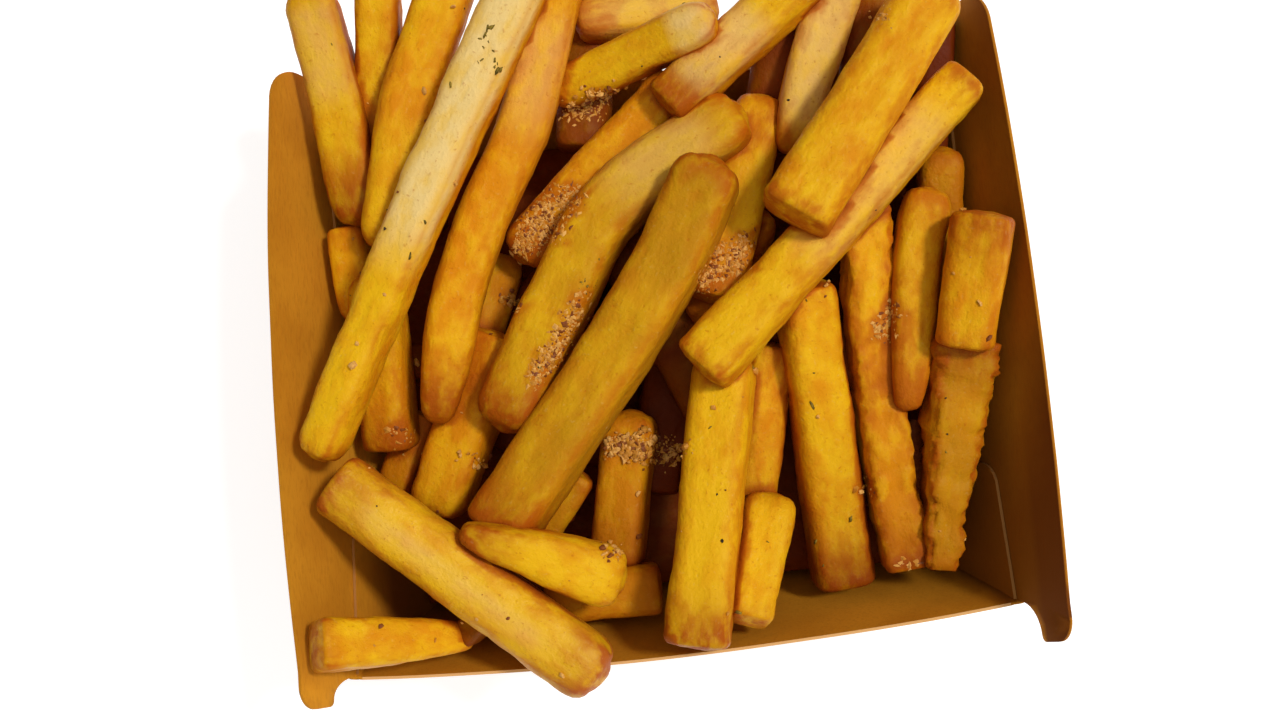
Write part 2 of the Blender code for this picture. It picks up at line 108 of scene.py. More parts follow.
def attributeNode(tree, name, output="Fac"):
    return addNode(tree, "ShaderNodeAttribute", attribute_name=name).outputs[output]


def noiseNode(tree, vector, scale, detail=3.0, roughness=0.55):
    node = addNode(tree, "ShaderNodeTexNoise", Scale=scale, Detail=detail, Roughness=roughness)
    tree.links.new(vector, node.inputs["Vector"])
    return node.outputs["Fac"]


def rangeNode(tree, value, low, high, start, stop):
    # turn what lies between low and high into start to stop
    node = tree.nodes.new("ShaderNodeMapRange")
    node.interpolation_type = "SMOOTHSTEP"
    for name, number in (("From Min", low), ("From Max", high), ("To Min", start), ("To Max", stop)):
        node.inputs[name].default_value = number
    tree.links.new(value, node.inputs["Value"])
    return node.outputs["Result"]


def mathNode(tree, operation, first, second):
    node = tree.nodes.new("ShaderNodeMath")
    node.operation = operation
    node.use_clamp = operation == "ADD"
    tree.links.new(first, node.inputs[0])
    tree.links.new(second, node.inputs[1])
    return node.outputs["Value"]


def mixNode(tree, factor, first, second):
    node = tree.nodes.new("ShaderNodeMix")
    node.data_type = "RGBA"
    # the colour sockets come after the number and vector ones
    sockets = (node.inputs[0], node.inputs[6], node.inputs[7])
    for socket, value in zip(sockets, (factor, first, second)):
        if isinstance(value, float):
            socket.default_value = value
        elif isinstance(value, tuple):
            socket.default_value = (*value, 1)
        else:
            tree.links.new(value, socket)
    return node.outputs[2]


def bumpNode(tree, height, strength, distance, after=None):
    node = addNode(tree, "ShaderNodeBump", Strength=strength, Distance=distance)
    tree.links.new(height, node.inputs["Height"])
    if after:
        tree.links.new(after, node.inputs["Normal"])
    return node.outputs["Normal"]


def paint(tree, shader, colour, bump):
    tree.links.new(colour, shader.inputs["Base Color"])
    tree.links.new(bump, shader.inputs["Normal"])


potatoLook = dict(
    yellow=(0.80, 0.435, 0.006),
    orange=(0.68, 0.240, 0.003),
    brownedAndShade=(0.45, 0.100, 0.002),
    olive=(0.46, 0.225, 0.005),
    # painted shade colour in crevices
    shadeDark=(0.30, 0.055, 0.002),
    # painted shade colour of the low, hidden and deep pieces
    deep=(0.14, 0.020, 0.001),
    # pale frost colour, partly a painted highlight; also the pale specks
    frostAndSheen=(0.84, 0.60, 0.23),
    stretch=(0.6, 1, 1),           # the mottling is longer along the fry
    broad=150,                     # scales of the noises, per metre
    middle=420,
    fine=1500,
    # for each of these: a low and a high value, and what they turn into
    broadTone=(0.35, 0.7, -0.25, 0.35),
    middleTone=(0.3, 0.7, -0.28, 0.34),
    oliveShare=(0.3, 0.65, 0.5, 1.1),
    brownedAndShadeShare=(0.3, 0.65, 0.35, 1.25),
    frostAndSheenShare=(0.3, 0.6, 0.55, 1.1),
    brownSpecks=(0.60, 0.72, 0, 0.45),
    paleSpecks=(0.40, 0.28, 0, 0.12),
    # painted shade between fries and under crumbs
    creviceShadeEdge=(0.3, 0.7, -0.07, 0.07),
    creviceShadeBrown=(0.10, 0.42, 0, 0.85),
    creviceShadeDark=(0.34, 0.75, 0, 0.9),
    specular=(0, 1, 0.07, 0.5),
    roughness=(0.3, 0.7, 0.4, 0.62),
    fineBump=(0.55, 0.0003),       # strength, and distance in metres
    middleBump=(0.45, 0.0009),
)


def makePotato():
    # the look attribute holds: tone, browning with painted shade on the side faces, frost that is partly
    # a painted highlight, and in its alpha olive
    material, tree, shader = newMaterial("friedPotato")
    split = tree.nodes.new("ShaderNodeSeparateColor")
    tree.links.new(attributeNode(tree, "look", "Color"), split.inputs["Color"])
    grain = attributeNode(tree, "grain", "Vector")
    along = addNode(tree, "ShaderNodeMapping", Scale=potatoLook["stretch"])
    tree.links.new(grain, along.inputs["Vector"])
    broad = noiseNode(tree, along.outputs["Vector"], potatoLook["broad"])
    middle = noiseNode(tree, along.outputs["Vector"], potatoLook["middle"], 4)
    fine = noiseNode(tree, grain, potatoLook["fine"], 4, 0.6)

    def ranged(value, name):
        return rangeNode(tree, value, *potatoLook[name])

    tone = mathNode(tree, "ADD", split.outputs["Red"], ranged(broad, "broadTone"))
    tone = mathNode(tree, "ADD", tone, ranged(middle, "middleTone"))
    colour = mixNode(tree, tone, potatoLook["yellow"], potatoLook["orange"])
    layers = (
        ("olive", attributeNode(tree, "look", "Alpha"), broad),
        ("brownedAndShade", split.outputs["Green"], middle),
        ("frostAndSheen", split.outputs["Blue"], middle),
    )
    for name, amount, mottling in layers:
        share = mathNode(tree, "MULTIPLY", amount, ranged(mottling, name + "Share"))
        colour = mixNode(tree, share, colour, potatoLook[name])
    colour = mixNode(tree, ranged(fine, "brownSpecks"), colour, potatoLook["brownedAndShade"])
    colour = mixNode(tree, ranged(fine, "paleSpecks"), colour, potatoLook["frostAndSheen"])
    # painted shade: browner and darker where a point is closed in
    creviceShade = mathNode(tree, "ADD", attributeNode(tree, "creviceShade"), ranged(middle, "creviceShadeEdge"))
    colour = mixNode(tree, ranged(creviceShade, "creviceShadeBrown"), colour, potatoLook["brownedAndShade"])
    colour = mixNode(tree, ranged(creviceShade, "creviceShadeDark"), colour, potatoLook["shadeDark"])
    # painted shade: low, hidden and deep pieces darkened
    colour = mixNode(tree, attributeNode(tree, "depth"), colour, potatoLook["deep"])
    specular = ranged(attributeNode(tree, "gloss"), "specular")
    tree.links.new(specular, shader.inputs["Specular IOR Level"])
    tree.links.new(ranged(middle, "roughness"), shader.inputs["Roughness"])
    bump = bumpNode(tree, fine, *potatoLook["fineBump"])
    bump = bumpNode(tree, middle, *potatoLook["middleBump"], bump)
    paint(tree, shader, colour, bump)
    return material


boardLook = dict(
    brown=(0.50, 0.190, 0.009),
    light=(0.57, 0.230, 0.012),
    dark=(0.36, 0.120, 0.006),
    cut=(0.80, 0.46, 0.19),
    tabEdge=(0.42, 0.20, 0.06),
    # the colour of the painted shade on the board
    boardShade=(0.17, 0.045, 0.003),
    roughness=0.85,
    specular=0.1,
    cloud=90,                      # scales of the noises, per metre
    strand=2200,
    strandShape=(1, 0.25, 1),
    clouded=(0.35, 0.65, 0, 1),
    stranded=(0.45, 0.7, 0, 0.35),
    tintShare=0.75,
    bump=(0.25, 0.0002),
)


def makeBoard(name, tint=None):
    material, tree, shader = newMaterial(name, boardLook["roughness"], boardLook["specular"])
    place = addNode(tree, "ShaderNodeTexCoord").outputs["Object"]
    cloud = noiseNode(tree, place, boardLook["cloud"], 4)
    fibre = addNode(tree, "ShaderNodeMapping", Scale=boardLook["strandShape"])
    tree.links.new(place, fibre.inputs["Vector"])
    strand = noiseNode(tree, fibre.outputs["Vector"], boardLook["strand"], 4, 0.65)
    clouded = rangeNode(tree, cloud, *boardLook["clouded"])
    colour = mixNode(tree, clouded, boardLook["brown"], boardLook["light"])
    colour = mixNode(tree, rangeNode(tree, strand, *boardLook["stranded"]), colour, boardLook["dark"])
    # painted shade on the right wall and low in the front left corner
    colour = mixNode(tree, attributeNode(tree, "paintedBoardShade"), colour, boardLook["boardShade"])
    if tint:
        colour = mixNode(tree, boardLook["tintShare"], colour, tint)
    paint(tree, shader, colour, bumpNode(tree, strand, *boardLook["bump"]))
    return material


def makeBitMaterial(look):
    # each bit's own colour, mottled with a second one
    material, tree, shader = newMaterial(look["material"], look["roughness"], look["specular"])
    place = addNode(tree, "ShaderNodeTexCoord").outputs["Object"]
    fine = noiseNode(tree, place, look["grain"], 2)
    colour = attributeNode(tree, "look", "Color")
    colour = mixNode(tree, rangeNode(tree, fine, *look["mottled"]), colour, look["mottling"])
    paint(tree, shader, colour, bumpNode(tree, fine, look["bump"], 0.0002))
    return material


# Tray sizes that the fries are laid against, in metres

tray = dict(
    board=0.5 * mm,
    baseHalfWidth=39.9 * mm,
    baseHalfDepth=31.8 * mm,
    sideFlare=0.355,
    endFlare=0.362,
    sideHeight=48.3 * mm,
    endHeight=35.2 * mm,
    earReach={-1: 50.6 * mm, 1: 51.4 * mm},     # at the front, -1, and at the back, 1
)

coreSize = dict(
    gap=0.9 * mm,
    lift=0.5 * mm,
    frontTop=15 * mm,
    backTop=24 * mm,
    halfWidth=38.5 * mm,
    halfDepth=30.5 * mm,
    cuts=24,
    lumps=7 * mm,
    lumpHeight=1.6 * mm,
    depth=0.9,                 # how dark its painted shade is
)

# how close fries lie, and how they are let down onto each other
settling = dict(
    pressWidth=0.95,
    pressHeight=0.82,
    wallGap=0.6 * mm,
    samples=20,
    rounds=70,
    step=0.35,
    drop=0.15 * mm,
    pull=0.03,
)

# each end: how long its narrowing is, and the share of the section left at the tip
endShapes = {"cut": (1.3 * mm, 0.80), "round": (3.6 * mm, 0.52), "taper": (17 * mm, 0.42)}

fryShape = dict(
    thickness=0.92,
    mostThickness=1.15,        # of the width, where a fry is narrow
    roll=12,                   # degrees either way
    twist=14,
    cornerChange=(0.85, 1.2),
    sideCuts=5,                # cuts across each side face
    ringGap=1.25 * mm,
    corner=0.54,               # how round the section's corners are
    hollow=0.16 * mm,          # how far the flat sides dip
    waves=((9.0, 0.30), (3.4, 0.17), (1.3, 0.10)),   # size and height of the bumps, mm
    crust=2.6,                 # how much rougher a crusty fry is
    flakes=1.1 * mm,           # how far the edges of a crusty fry stand out
    flakeSize=1.2,             # mm
    dentSize=2.5,              # mm, of the dents in the tips
    crustyGap=0.6 * mm,
    crustyCuts=9,
    tipBulge={"cut": 0.12, "round": 0.35, "taper": 0.35},
    tipDent=0.3 * mm,
    darkBelow=18 * mm,
    fullColour=42 * mm,
    lowShade=0.6,              # how dark the painted shade on the lowest pieces is
    lowShadeTone=0.5,               # how much more orange the low pieces are, as painted shade
    lowShadeHeights=(27 * mm, 44 * mm),
    hangOver=(50 * mm, 56 * mm),   # how far back the pieces painted dark as shade come out into the open, where it fades
)

# how brown a fry's edges, tips and side faces are, and how much more orange its sides; the side faces'
# browning and orange are painted shade, and so is the ends' extra darkness
browningAndShading = dict(
    edge=0.45,
    tip=0.45,
    tipReach=(0.3 * mm, 3.5 * mm),
    end=0.75,
    endReach=12 * mm,
    endShade=0.3,
    crust=0.45,
    side=0.12,
    sideShadeTone=0.45,
    toneChange=0.12,
    edgeShare=(0.5, 1.0),      # from a face's middle, 0, to the section's corner, 1
    sideShadeShare=(0.05, 0.6),
    frostAndSheenUpper=(0.1, 0.8),     # how far up the section the frost, partly a painted highlight, begins
    frostAndSheenFade=0.08,            # of the length
    frostAndSheenAtEdge=0.4,
    highlightRidgeFade=(0.05, 0.42),
)

under = dict(
    count=9,
    seed=11,
    length=(44 * mm, 60 * mm),
    width=(8.2 * mm, 9.6 * mm),
    halfWidth=38 * mm,
    back=34 * mm,
    front=-22 * mm,
    heights=(24 * mm, 28 * mm),
    top=32 * mm,
    turn=0.618,                # half turns from one to the next
    turnChange=0.2,
)

# name, pixels along the fry, then for its first and last pixel: width and height above the
# table in mm, and the shape of the end
Fry = namedtuple("Fry", "name way widths heights ends")

fries = [
    Fry("left_wall_stub", [(348, 228), (362, 320)], (6.0, 6.0), (36, 33), ("cut", "round")),
    Fry("short_back_left", [(377, -52), (384, 190)], (7.2, 7.4), (43, 33), ("round", "cut")),
    Fry("back_low_left", [(594, -34), (582, 150)], (8.4, 8.6), (40, 31), ("round", "cut")),
    Fry("back_low_middle", [(790, -30), (764, 150)], (8.2, 8.6), (41, 31), ("round", "cut")),
    Fry("back_low_right", [(875, -48), (859, 130)], (8.4, 8.6), (41, 31), ("round", "cut")),
    Fry("behind_back", [(578, 22), (716, 10)], (6.8, 6.6), (41, 43), ("round", "round")),
    Fry("under_middle_left", [(508, 258), (480, 348)], (6.6, 6.2), (30, 29), ("round", "round")),
    Fry("orange_middle", [(762, 100), (716, 300)], (8.4, 8.4), (38, 35), ("round", "cut")),
    Fry("crumbed_middle", [(762, 214), (700, 322)], (7.4, 7.0), (33, 31), ("round", "round")),
    Fry("under_right", [(942, 150), (934, 300)], (7.2, 7.2), (35, 29), ("round", "cut")),
    Fry("small_left", [(424, 414), (394, 494)], (6.6, 5.8), (31, 27.5), ("cut", "round")),
    Fry("under_wedge", [(546, 600), (660, 588)], (7.6, 8.4), (29, 28), ("round", "cut")),
    Fry("short_front", [(770, 345), (754, 506)], (7.2, 7.0), (31, 26), ("cut", "round")),
    Fry("orange_front", [(632, 414), (618, 562)], (8.6, 8.2), (33, 28), ("round", "cut")),
    Fry("small_front", [(578, 472), (533, 548)], (6.4, 5.6), (31, 28), ("cut", "round")),
    Fry("back_left", [(309, -8), (331, 74), (364, 222)], (8.2, 8.6), (44, 33), ("round", "round")),
    Fry("left_fork", [(376, 275), (392, 448)], (8.2, 8.6), (38, 32), ("round", "cut")),
    Fry("lower_left", [(498, 335), (437, 512)], (9.8, 9.4), (35, 32), ("cut", "round")),
    Fry("pale_back", [(556, 94), (712, 18)], (7.0, 7.4), (42, 48), ("round", "round")),
    Fry("crumbed_brown", [(676, 84), (520, 256)], (7.6, 8.8), (38, 34), ("cut", "round")),
    Fry("right_bent", [(929, 190), (914, 270), (907, 408)], (7.4, 7.0), (41, 30), ("round", "taper")),
    Fry("right_leaning", [(862, 205), (878, 400), (907, 566)], (7.8, 7.6), (40, 20), ("cut", "cut")),
    Fry("front_short_bright", [(772, 498), (749, 622)], (9.2, 6.6), (31, 32), ("round", "cut")),
    Fry("front_left_low", [(316, 645), (470, 637)], (8.0, 6.4), (43, 34), ("cut", "taper")),
    Fry("left_long", [(470, -78), (411, 100), (388, 248)], (9.6, 9.4), (47, 40), ("cut", "round")),
    Fry("left_orange", [(563, -46), (527, 115), (466, 265), (437, 420)],
        (8.6, 8.4), (45, 37), ("cut", "taper")),
    Fry("middle_olive", [(740, 114), (617, 202), (560, 300), (504, 426)],
        (10.0, 10.2), (45, 42), ("round", "round")),
    Fry("right_square", [(984, 214), (964, 346)], (9.4, 9.2), (43, 39), ("cut", "cut")),
    Fry("right_crusty", [(964, 338), (953, 420), (938, 566)], (11.0, 5.2), (42, 21), ("cut", "cut")),
    Fry("front_right", [(803, 285), (843, 582)], (9.0, 9.8), (42, 24), ("cut", "cut")),
    Fry("front_middle", [(726, 355), (697, 646)], (9.6, 10.2), (42, 37), ("round", "cut")),
    Fry("back_square", [(666, 106), (818, -32)], (8.0, 8.2), (47, 46), ("cut", "round")),
    Fry("back_pale_right", [(850, -62), (787, 150)], (9.0, 7.6), (47, 40), ("round", "taper")),
    Fry("long_frosted", [(533, -44), (424, 200), (318, 456)], (9.4, 7.0), (53, 47), ("cut", "round")),
    Fry("middle_big", [(714, 162), (645, 305), (498, 532)], (10.4, 10.6), (54, 43), ("round", "cut")),
    Fry("front_glossy", [(336, 482), (600, 677)], (10.4, 10.6), (45, 43), ("cut", "round")),
    Fry("top_bright", [(966, 78), (845, 212), (700, 367)], (7.4, 9.8), (50, 50), ("cut", "cut")),
    Fry("back_big", [(934, -10), (794, 218)], (10.8, 11.4), (54, 51), ("round", "cut")),
    Fry("wedge", [(462, 532), (620, 580)], (5.5, 10.6), (46, 40), ("taper", "round")),
]

# short fries hidden below others, which carry them and are not moved by the settling
props = [
    Fry("left_prop", [(396, 205), (436, 222)], (7.0, 7.0), (38, 19), ("round", "cut")),
    Fry("fork_prop", [(386, 368), (474, 357)], (5.8, 6.4), (33.5, 25), ("round", "cut")),
    Fry("right_prop", [(936, 232), (890, 240)], (6.6, 6.6), (34, 20), ("round", "cut")),
    Fry("front_prop", [(556, 512), (562, 500)], (6.0, 6.0), (27, 14), ("round", "cut")),
    Fry("front_left_prop", [(465, 636), (498, 602)], (4.4, 5.0), (36.2, 41.5), ("cut", "cut")),
    Fry("glossy_prop", [(470, 580), (480, 560)], (6.6, 6.6), (40, 14), ("round", "cut")),
    Fry("crusty_prop", [(950, 400), (905, 396)], (6.6, 6.6), (36, 18), ("round", "cut")),
    Fry("corner_prop", [(937, 14), (926, 165)], (6.4, 6.4), (40, 34.5), ("round", "cut")),
]

# tone runs from 0, bright yellow, to 1, orange; start and stop say where along the fry
# it is browned at an end, partly as painted shade, or frosted on its upper side, partly as a painted
# highlight;
# the ridge is a painted highlight along the fry, and deep is painted shade
fryLooks = {
    "left_wall_stub": dict(tone=0.4),
    "short_back_left": dict(tone=0.35, olive=0.1),
    "back_low_left": dict(tone=0.9, deep=0.8),
    "back_low_middle": dict(tone=0.9, deep=0.85),
    "back_low_right": dict(tone=0.9, deep=0.8),
    "behind_back": dict(tone=0.0, frostAndSheen=(0.3, 0.0, 1.0)),
    "under_middle_left": dict(tone=0.5),
    "orange_middle": dict(tone=0.3),
    "crumbed_middle": dict(tone=0.8),
    "under_right": dict(tone=1.0, deep=0.3),
    "small_left": dict(tone=0.45),
    "under_wedge": dict(tone=0.75),
    "short_front": dict(tone=0.3),
    "orange_front": dict(tone=0.5, brownShadeStop=0.4),
    "small_front": dict(tone=0.3),
    "back_left": dict(tone=0.4, olive=0.35, frostAndSheen=(0.2, 0.1, 0.5), brownShadeStop=1.4),
    "left_fork": dict(tone=0.45, brownShadeStop=0.8),
    "lower_left": dict(tone=0.45),
    "pale_back": dict(tone=0.1, olive=0.15, frostAndSheen=(0.6, 0.8, 1.0)),
    "crumbed_brown": dict(tone=0.8, brownShadeStop=0.8),
    "right_bent": dict(tone=0.55, olive=0.2),
    "right_leaning": dict(tone=0.6, crust=0.5, brownShadeStop=0.5),
    "front_short_bright": dict(tone=0.0),
    "front_left_low": dict(tone=0.3, olive=0.1),
    "left_long": dict(tone=0.5),
    "left_orange": dict(tone=0.75, frostAndSheen=(0.22, 0.16, 0.36), brownShadeStop=1.2),
    "middle_olive": dict(tone=0.35, olive=0.55, frostAndSheen=(0.22, 0.1, 0.35), brownShadeStop=1.1),
    "right_square": dict(tone=0.75, brownShadeStart=0.5),
    "right_crusty": dict(tone=0.8, olive=0.5, crust=1.0, brownShadeStart=0.7, deep=0.12),
    "front_right": dict(tone=0.2, brownShadeStop=1.1),
    "front_middle": dict(tone=0.15, brownShadeStop=0.9),
    "back_square": dict(tone=0.3, frostAndSheen=(0.45, 0.15, 0.6), brownShadeStart=0.9),
    "back_pale_right": dict(tone=0.0, frostAndSheen=(0.45, 0.2, 0.9)),
    "long_frosted": dict(tone=0.0, frostAndSheen=(0.85, 0.0, 0.58)),
    "middle_big": dict(tone=0.55, olive=0.65, brownShadeStart=0.4, brownShadeStop=0.9, deep=0.04),
    "back_big": dict(tone=0.45),
    "front_glossy": dict(tone=0.0, frostAndSheen=(0.22, 0.15, 0.8), highlightRidge=0.15, corner=0.85, gloss=0.4,
                         brownShadeStart=0.5, brownShadeStop=0.45),
    "corner_prop": dict(tone=1, deep=1.0),
    "top_bright": dict(tone=0.0, frostAndSheen=(0.26, 0.15, 0.6)),
    "wedge": dict(tone=0.1, brownShadeStart=0.8),
}
# hidden fries painted dark, as painted shade
hiddenLook = dict(tone=0.9, deep=0.75)


# Laying the fries

def alongWay(way, share):
    # a smooth curve through the way's points
    points = [Vector(point) for point in way]
    points = [points[0] * 2 - points[1]] + points + [points[-1] * 2 - points[-2]]
    lengths = [(points[i + 1] - points[i]).length for i in range(1, len(points) - 2)]
    left = share * sum(lengths)
    part = 0
    while part < len(lengths) - 1 and left > lengths[part]:
        left -= lengths[part]
        part += 1
    t = left / lengths[part]
    before, start, stop, after = points[part:part + 4]
    curve = (start * 2 + (stop - before) * t + (before * 2 - start * 5 + stop * 4 - after) * t ** 2
             + (start * 3 - before - stop * 3 + after) * t ** 3)
    return curve / 2


class Bar:
    # a fry's way at its present heights: shown by pixels, or hidden and placed in metres

    def __init__(self, name, way, widths, heights, ends, hidden=False):
        self.name = name
        self.way = way
        self.widths = widths
        self.heights = list(heights)
        self.guesses = heights
        self.ends = ends
        self.hidden = hidden

    def centre(self, share):
        height = self.heights[0] + (self.heights[1] - self.heights[0]) * share
        place = alongWay(self.way, share)
        if self.hidden:
            return Vector((place[0], place[1], height))
        return spot(place, height)

    def length(self):
        return (self.centre(1) - self.centre(0)).length

    def size(self, share):
        length = self.length()
        width = self.widths[0] + (self.widths[1] - self.widths[0]) * share
        thick = fryShape["thickness"] * sum(self.widths) / 2
        thick = min(thick, width * fryShape["mostThickness"])
        narrow = 1
        for kind, distance in zip(self.ends, (share * length, (1 - share) * length)):
            reach, tip = endShapes[kind]
            if distance < reach:
                narrow = min(narrow, tip + (1 - tip) * math.sqrt(1 - (1 - distance / reach) ** 2))
        return width / 2 * narrow, thick / 2 * narrow

    def samples(self):
        inset = min(0.4 * sum(self.widths) / 2 / self.length(), 0.3)
        count = settling["samples"]
        shares = [inset + (1 - 2 * inset) * step / (count - 1) for step in range(count)]
        return np.array([(share, *self.centre(share), *self.size(share)) for share in shares])


def sideInset(height):
    return tray["baseHalfWidth"] + tray["sideFlare"] * (height - tray["board"])


def coreTop(y):
    share = (y + coreSize["halfDepth"]) / (2 * coreSize["halfDepth"])
    return coreSize["frontTop"] + (coreSize["backTop"] - coreSize["frontTop"]) * share


def wallLimit(out, base, flare, rim, radius):
    lean = math.sqrt(1 + flare ** 2)
    onWall = (out - base + radius * lean) / flare
    if onWall - radius * flare / lean <= rim:
        return onWall
    past = out - (base + flare * rim)
    if abs(past) < radius:
        return rim + math.sqrt(radius ** 2 - past ** 2)
    return 0


def trayLimit(x, y, radius):
    # lowest height of a fry's middle inside the tray, or over its walls
    low = radius
    reach = radius + settling["wallGap"]
    if abs(y) < tray["earReach"][-1] + reach:
        base = tray["baseHalfWidth"] - 2 * tray["board"]
        low = max(low, wallLimit(abs(x), base, tray["sideFlare"], tray["sideHeight"], reach))
    if abs(x) < sideInset(tray["endHeight"]) + reach:
        base = tray["baseHalfDepth"]
        low = max(low, wallLimit(abs(y), base, tray["endFlare"], tray["endHeight"], reach))
    if abs(x) < coreSize["halfWidth"] and abs(y) < coreSize["halfDepth"]:
        low = max(low, coreTop(y) + radius * settling["pressHeight"])
    return low


def shift(bar, share, rise):
    # raise a fry at a share of its length, and its far end by less
    lever = (1 - share) ** 2 + share ** 2
    bar.heights[0] += rise * (1 - share) / lever
    bar.heights[1] += rise * share / lever


def settle(bars):
    # let the fries down little by little, and press them apart where they sink into each other
    above = {}
    for turn in range(settling["rounds"]):
        drop = settling["drop"] * (1 - turn / settling["rounds"])
        for bar in bars:
            bar.heights = [height + (first - height) * settling["pull"] - drop
                           for height, first in zip(bar.heights, bar.guesses)]
        rows = [bar.samples() for bar in bars]
        for upper in range(len(bars)):
            for lower in range(upper):
                own, other = rows[upper], rows[lower]
                apart = np.hypot(own[:, 1, None] - other[:, 1], own[:, 2, None] - other[:, 2])
                wide = settling["pressWidth"] * (own[:, 4, None] + other[:, 4])
                if (apart >= wide).all():
                    continue
                high = settling["pressHeight"] * (own[:, 5, None] + other[:, 5])
                need = high * np.sqrt(np.clip(1 - (apart / wide) ** 2, 0, None))
                rise = own[:, 3, None] - other[:, 3]
                if (upper, lower) not in above:
                    above[upper, lower] = 1 if (rise * need).sum() > 0 else -1
                sign = above[upper, lower]
                sunk = np.where(need > 0, need - sign * rise, -1)
                here, there = np.unravel_index(sunk.argmax(), sunk.shape)
                push = max(sunk[here, there], 0) * settling["step"] * sign
                shift(bars[upper], own[here, 0], push)
                shift(bars[lower], other[there, 0], -push)
        for bar in bars:
            row = bar.samples()
            radii = (row[:, 4] + row[:, 5]) / 2
            limits = np.array([trayLimit(x, y, r) for x, y, r in zip(row[:, 1], row[:, 2], radii)])
            sunk = limits - row[:, 3]
            worst = sunk.argmax()
            if sunk[worst] > 0:
                shift(bar, row[worst, 0], sunk[worst])
            if bar.hidden:
                bar.heights = [min(height, under["top"]) for height in bar.heights]


def hiddenBars():
    draw = random.Random(under["seed"])
    bars = []
    for number in range(under["count"]):
        height = under["heights"][number % len(under["heights"])]
        turn = math.pi * ((number * under["turn"]) % 1)
        turn += draw.uniform(-under["turnChange"], under["turnChange"])
        half = draw.uniform(*under["length"]) / 2
        reach = Vector((math.cos(turn), math.sin(turn))) * half
        spanX = under["halfWidth"] - abs(reach.x)
        middleX = draw.uniform(-1, 1) * max(spanX, 0)
        lowY, highY = under["front"] + abs(reach.y), under["back"] - abs(reach.y)
        middleY = draw.uniform(lowY, highY) if lowY < highY else (lowY + highY) / 2
        middle = Vector((middleX, middleY))
        width = draw.uniform(*under["width"])
        way = [tuple(middle - reach), tuple(middle + reach)]
        name = "hidden_%02d" % number
        bars.append(Bar(name, way, (width, width), (height, height), ("cut", "round"), hidden=True))
    return bars


def barsFrom(table):
    bars = []
    for fry in table:
        widths = [width * mm for width in fry.widths]
        heights = [height * mm for height in fry.heights]
        bars.append(Bar(fry.name, fry.way, widths, heights, fry.ends))
    return bars


# Shaping the fries

def subdividedBar(rings, cuts):
    # a cube cut into rings along Z and a grid across
    bm = bmesh.new()
    bmesh.ops.create_cube(bm, size=2)
    for axis, number in ((2, rings), (0, cuts), (1, cuts)):
        edges = [edge for edge in bm.edges
                 if abs(edge.verts[0].co[axis] - edge.verts[1].co[axis]) > 1.5]
        bmesh.ops.subdivide_edges(bm, edges=edges, cuts=number, use_grid_fill=True)
    return bm


def ringShares(bar, gap):
    # rings close together where an end is rounded, and evenly spaced between
    length = bar.length()
    start, stop = [min(endShapes[kind][0] / length, 0.3) for kind in bar.ends]
    near = (0, 0.06, 0.2, 0.45, 0.75)
    shares = [start * share for share in near]
    count = max(int((1 - start - stop) * length / gap), 4)
    shares += [start + (1 - start - stop) * step / count for step in range(count + 1)]
    shares += [1 - stop * share for share in reversed(near)]
    return shares


def smooth(value, low, high):
    share = min(max((value - low) / (high - low), 0), 1)
    return share * share * (3 - 2 * share)


def roundedSquare(u, v, corner):
    # move a point of a square's grid so that the square's corners become round
    flat = 1 - corner
    inner = Vector((min(max(u, -flat), flat), min(max(v, -flat), flat)))
    out = Vector((u, v)) - inner
    if out.length < 1e-6:
        return Vector((u, v))
    return inner + out.normalized() * max(abs(out.x), abs(out.y))


def addLayers(bm):
    layers = bm.verts.layers
    return [layers.float_color.new("look"), layers.float_vector.new("grain"), layers.float.new("depth"),
            layers.float.new("gloss")]


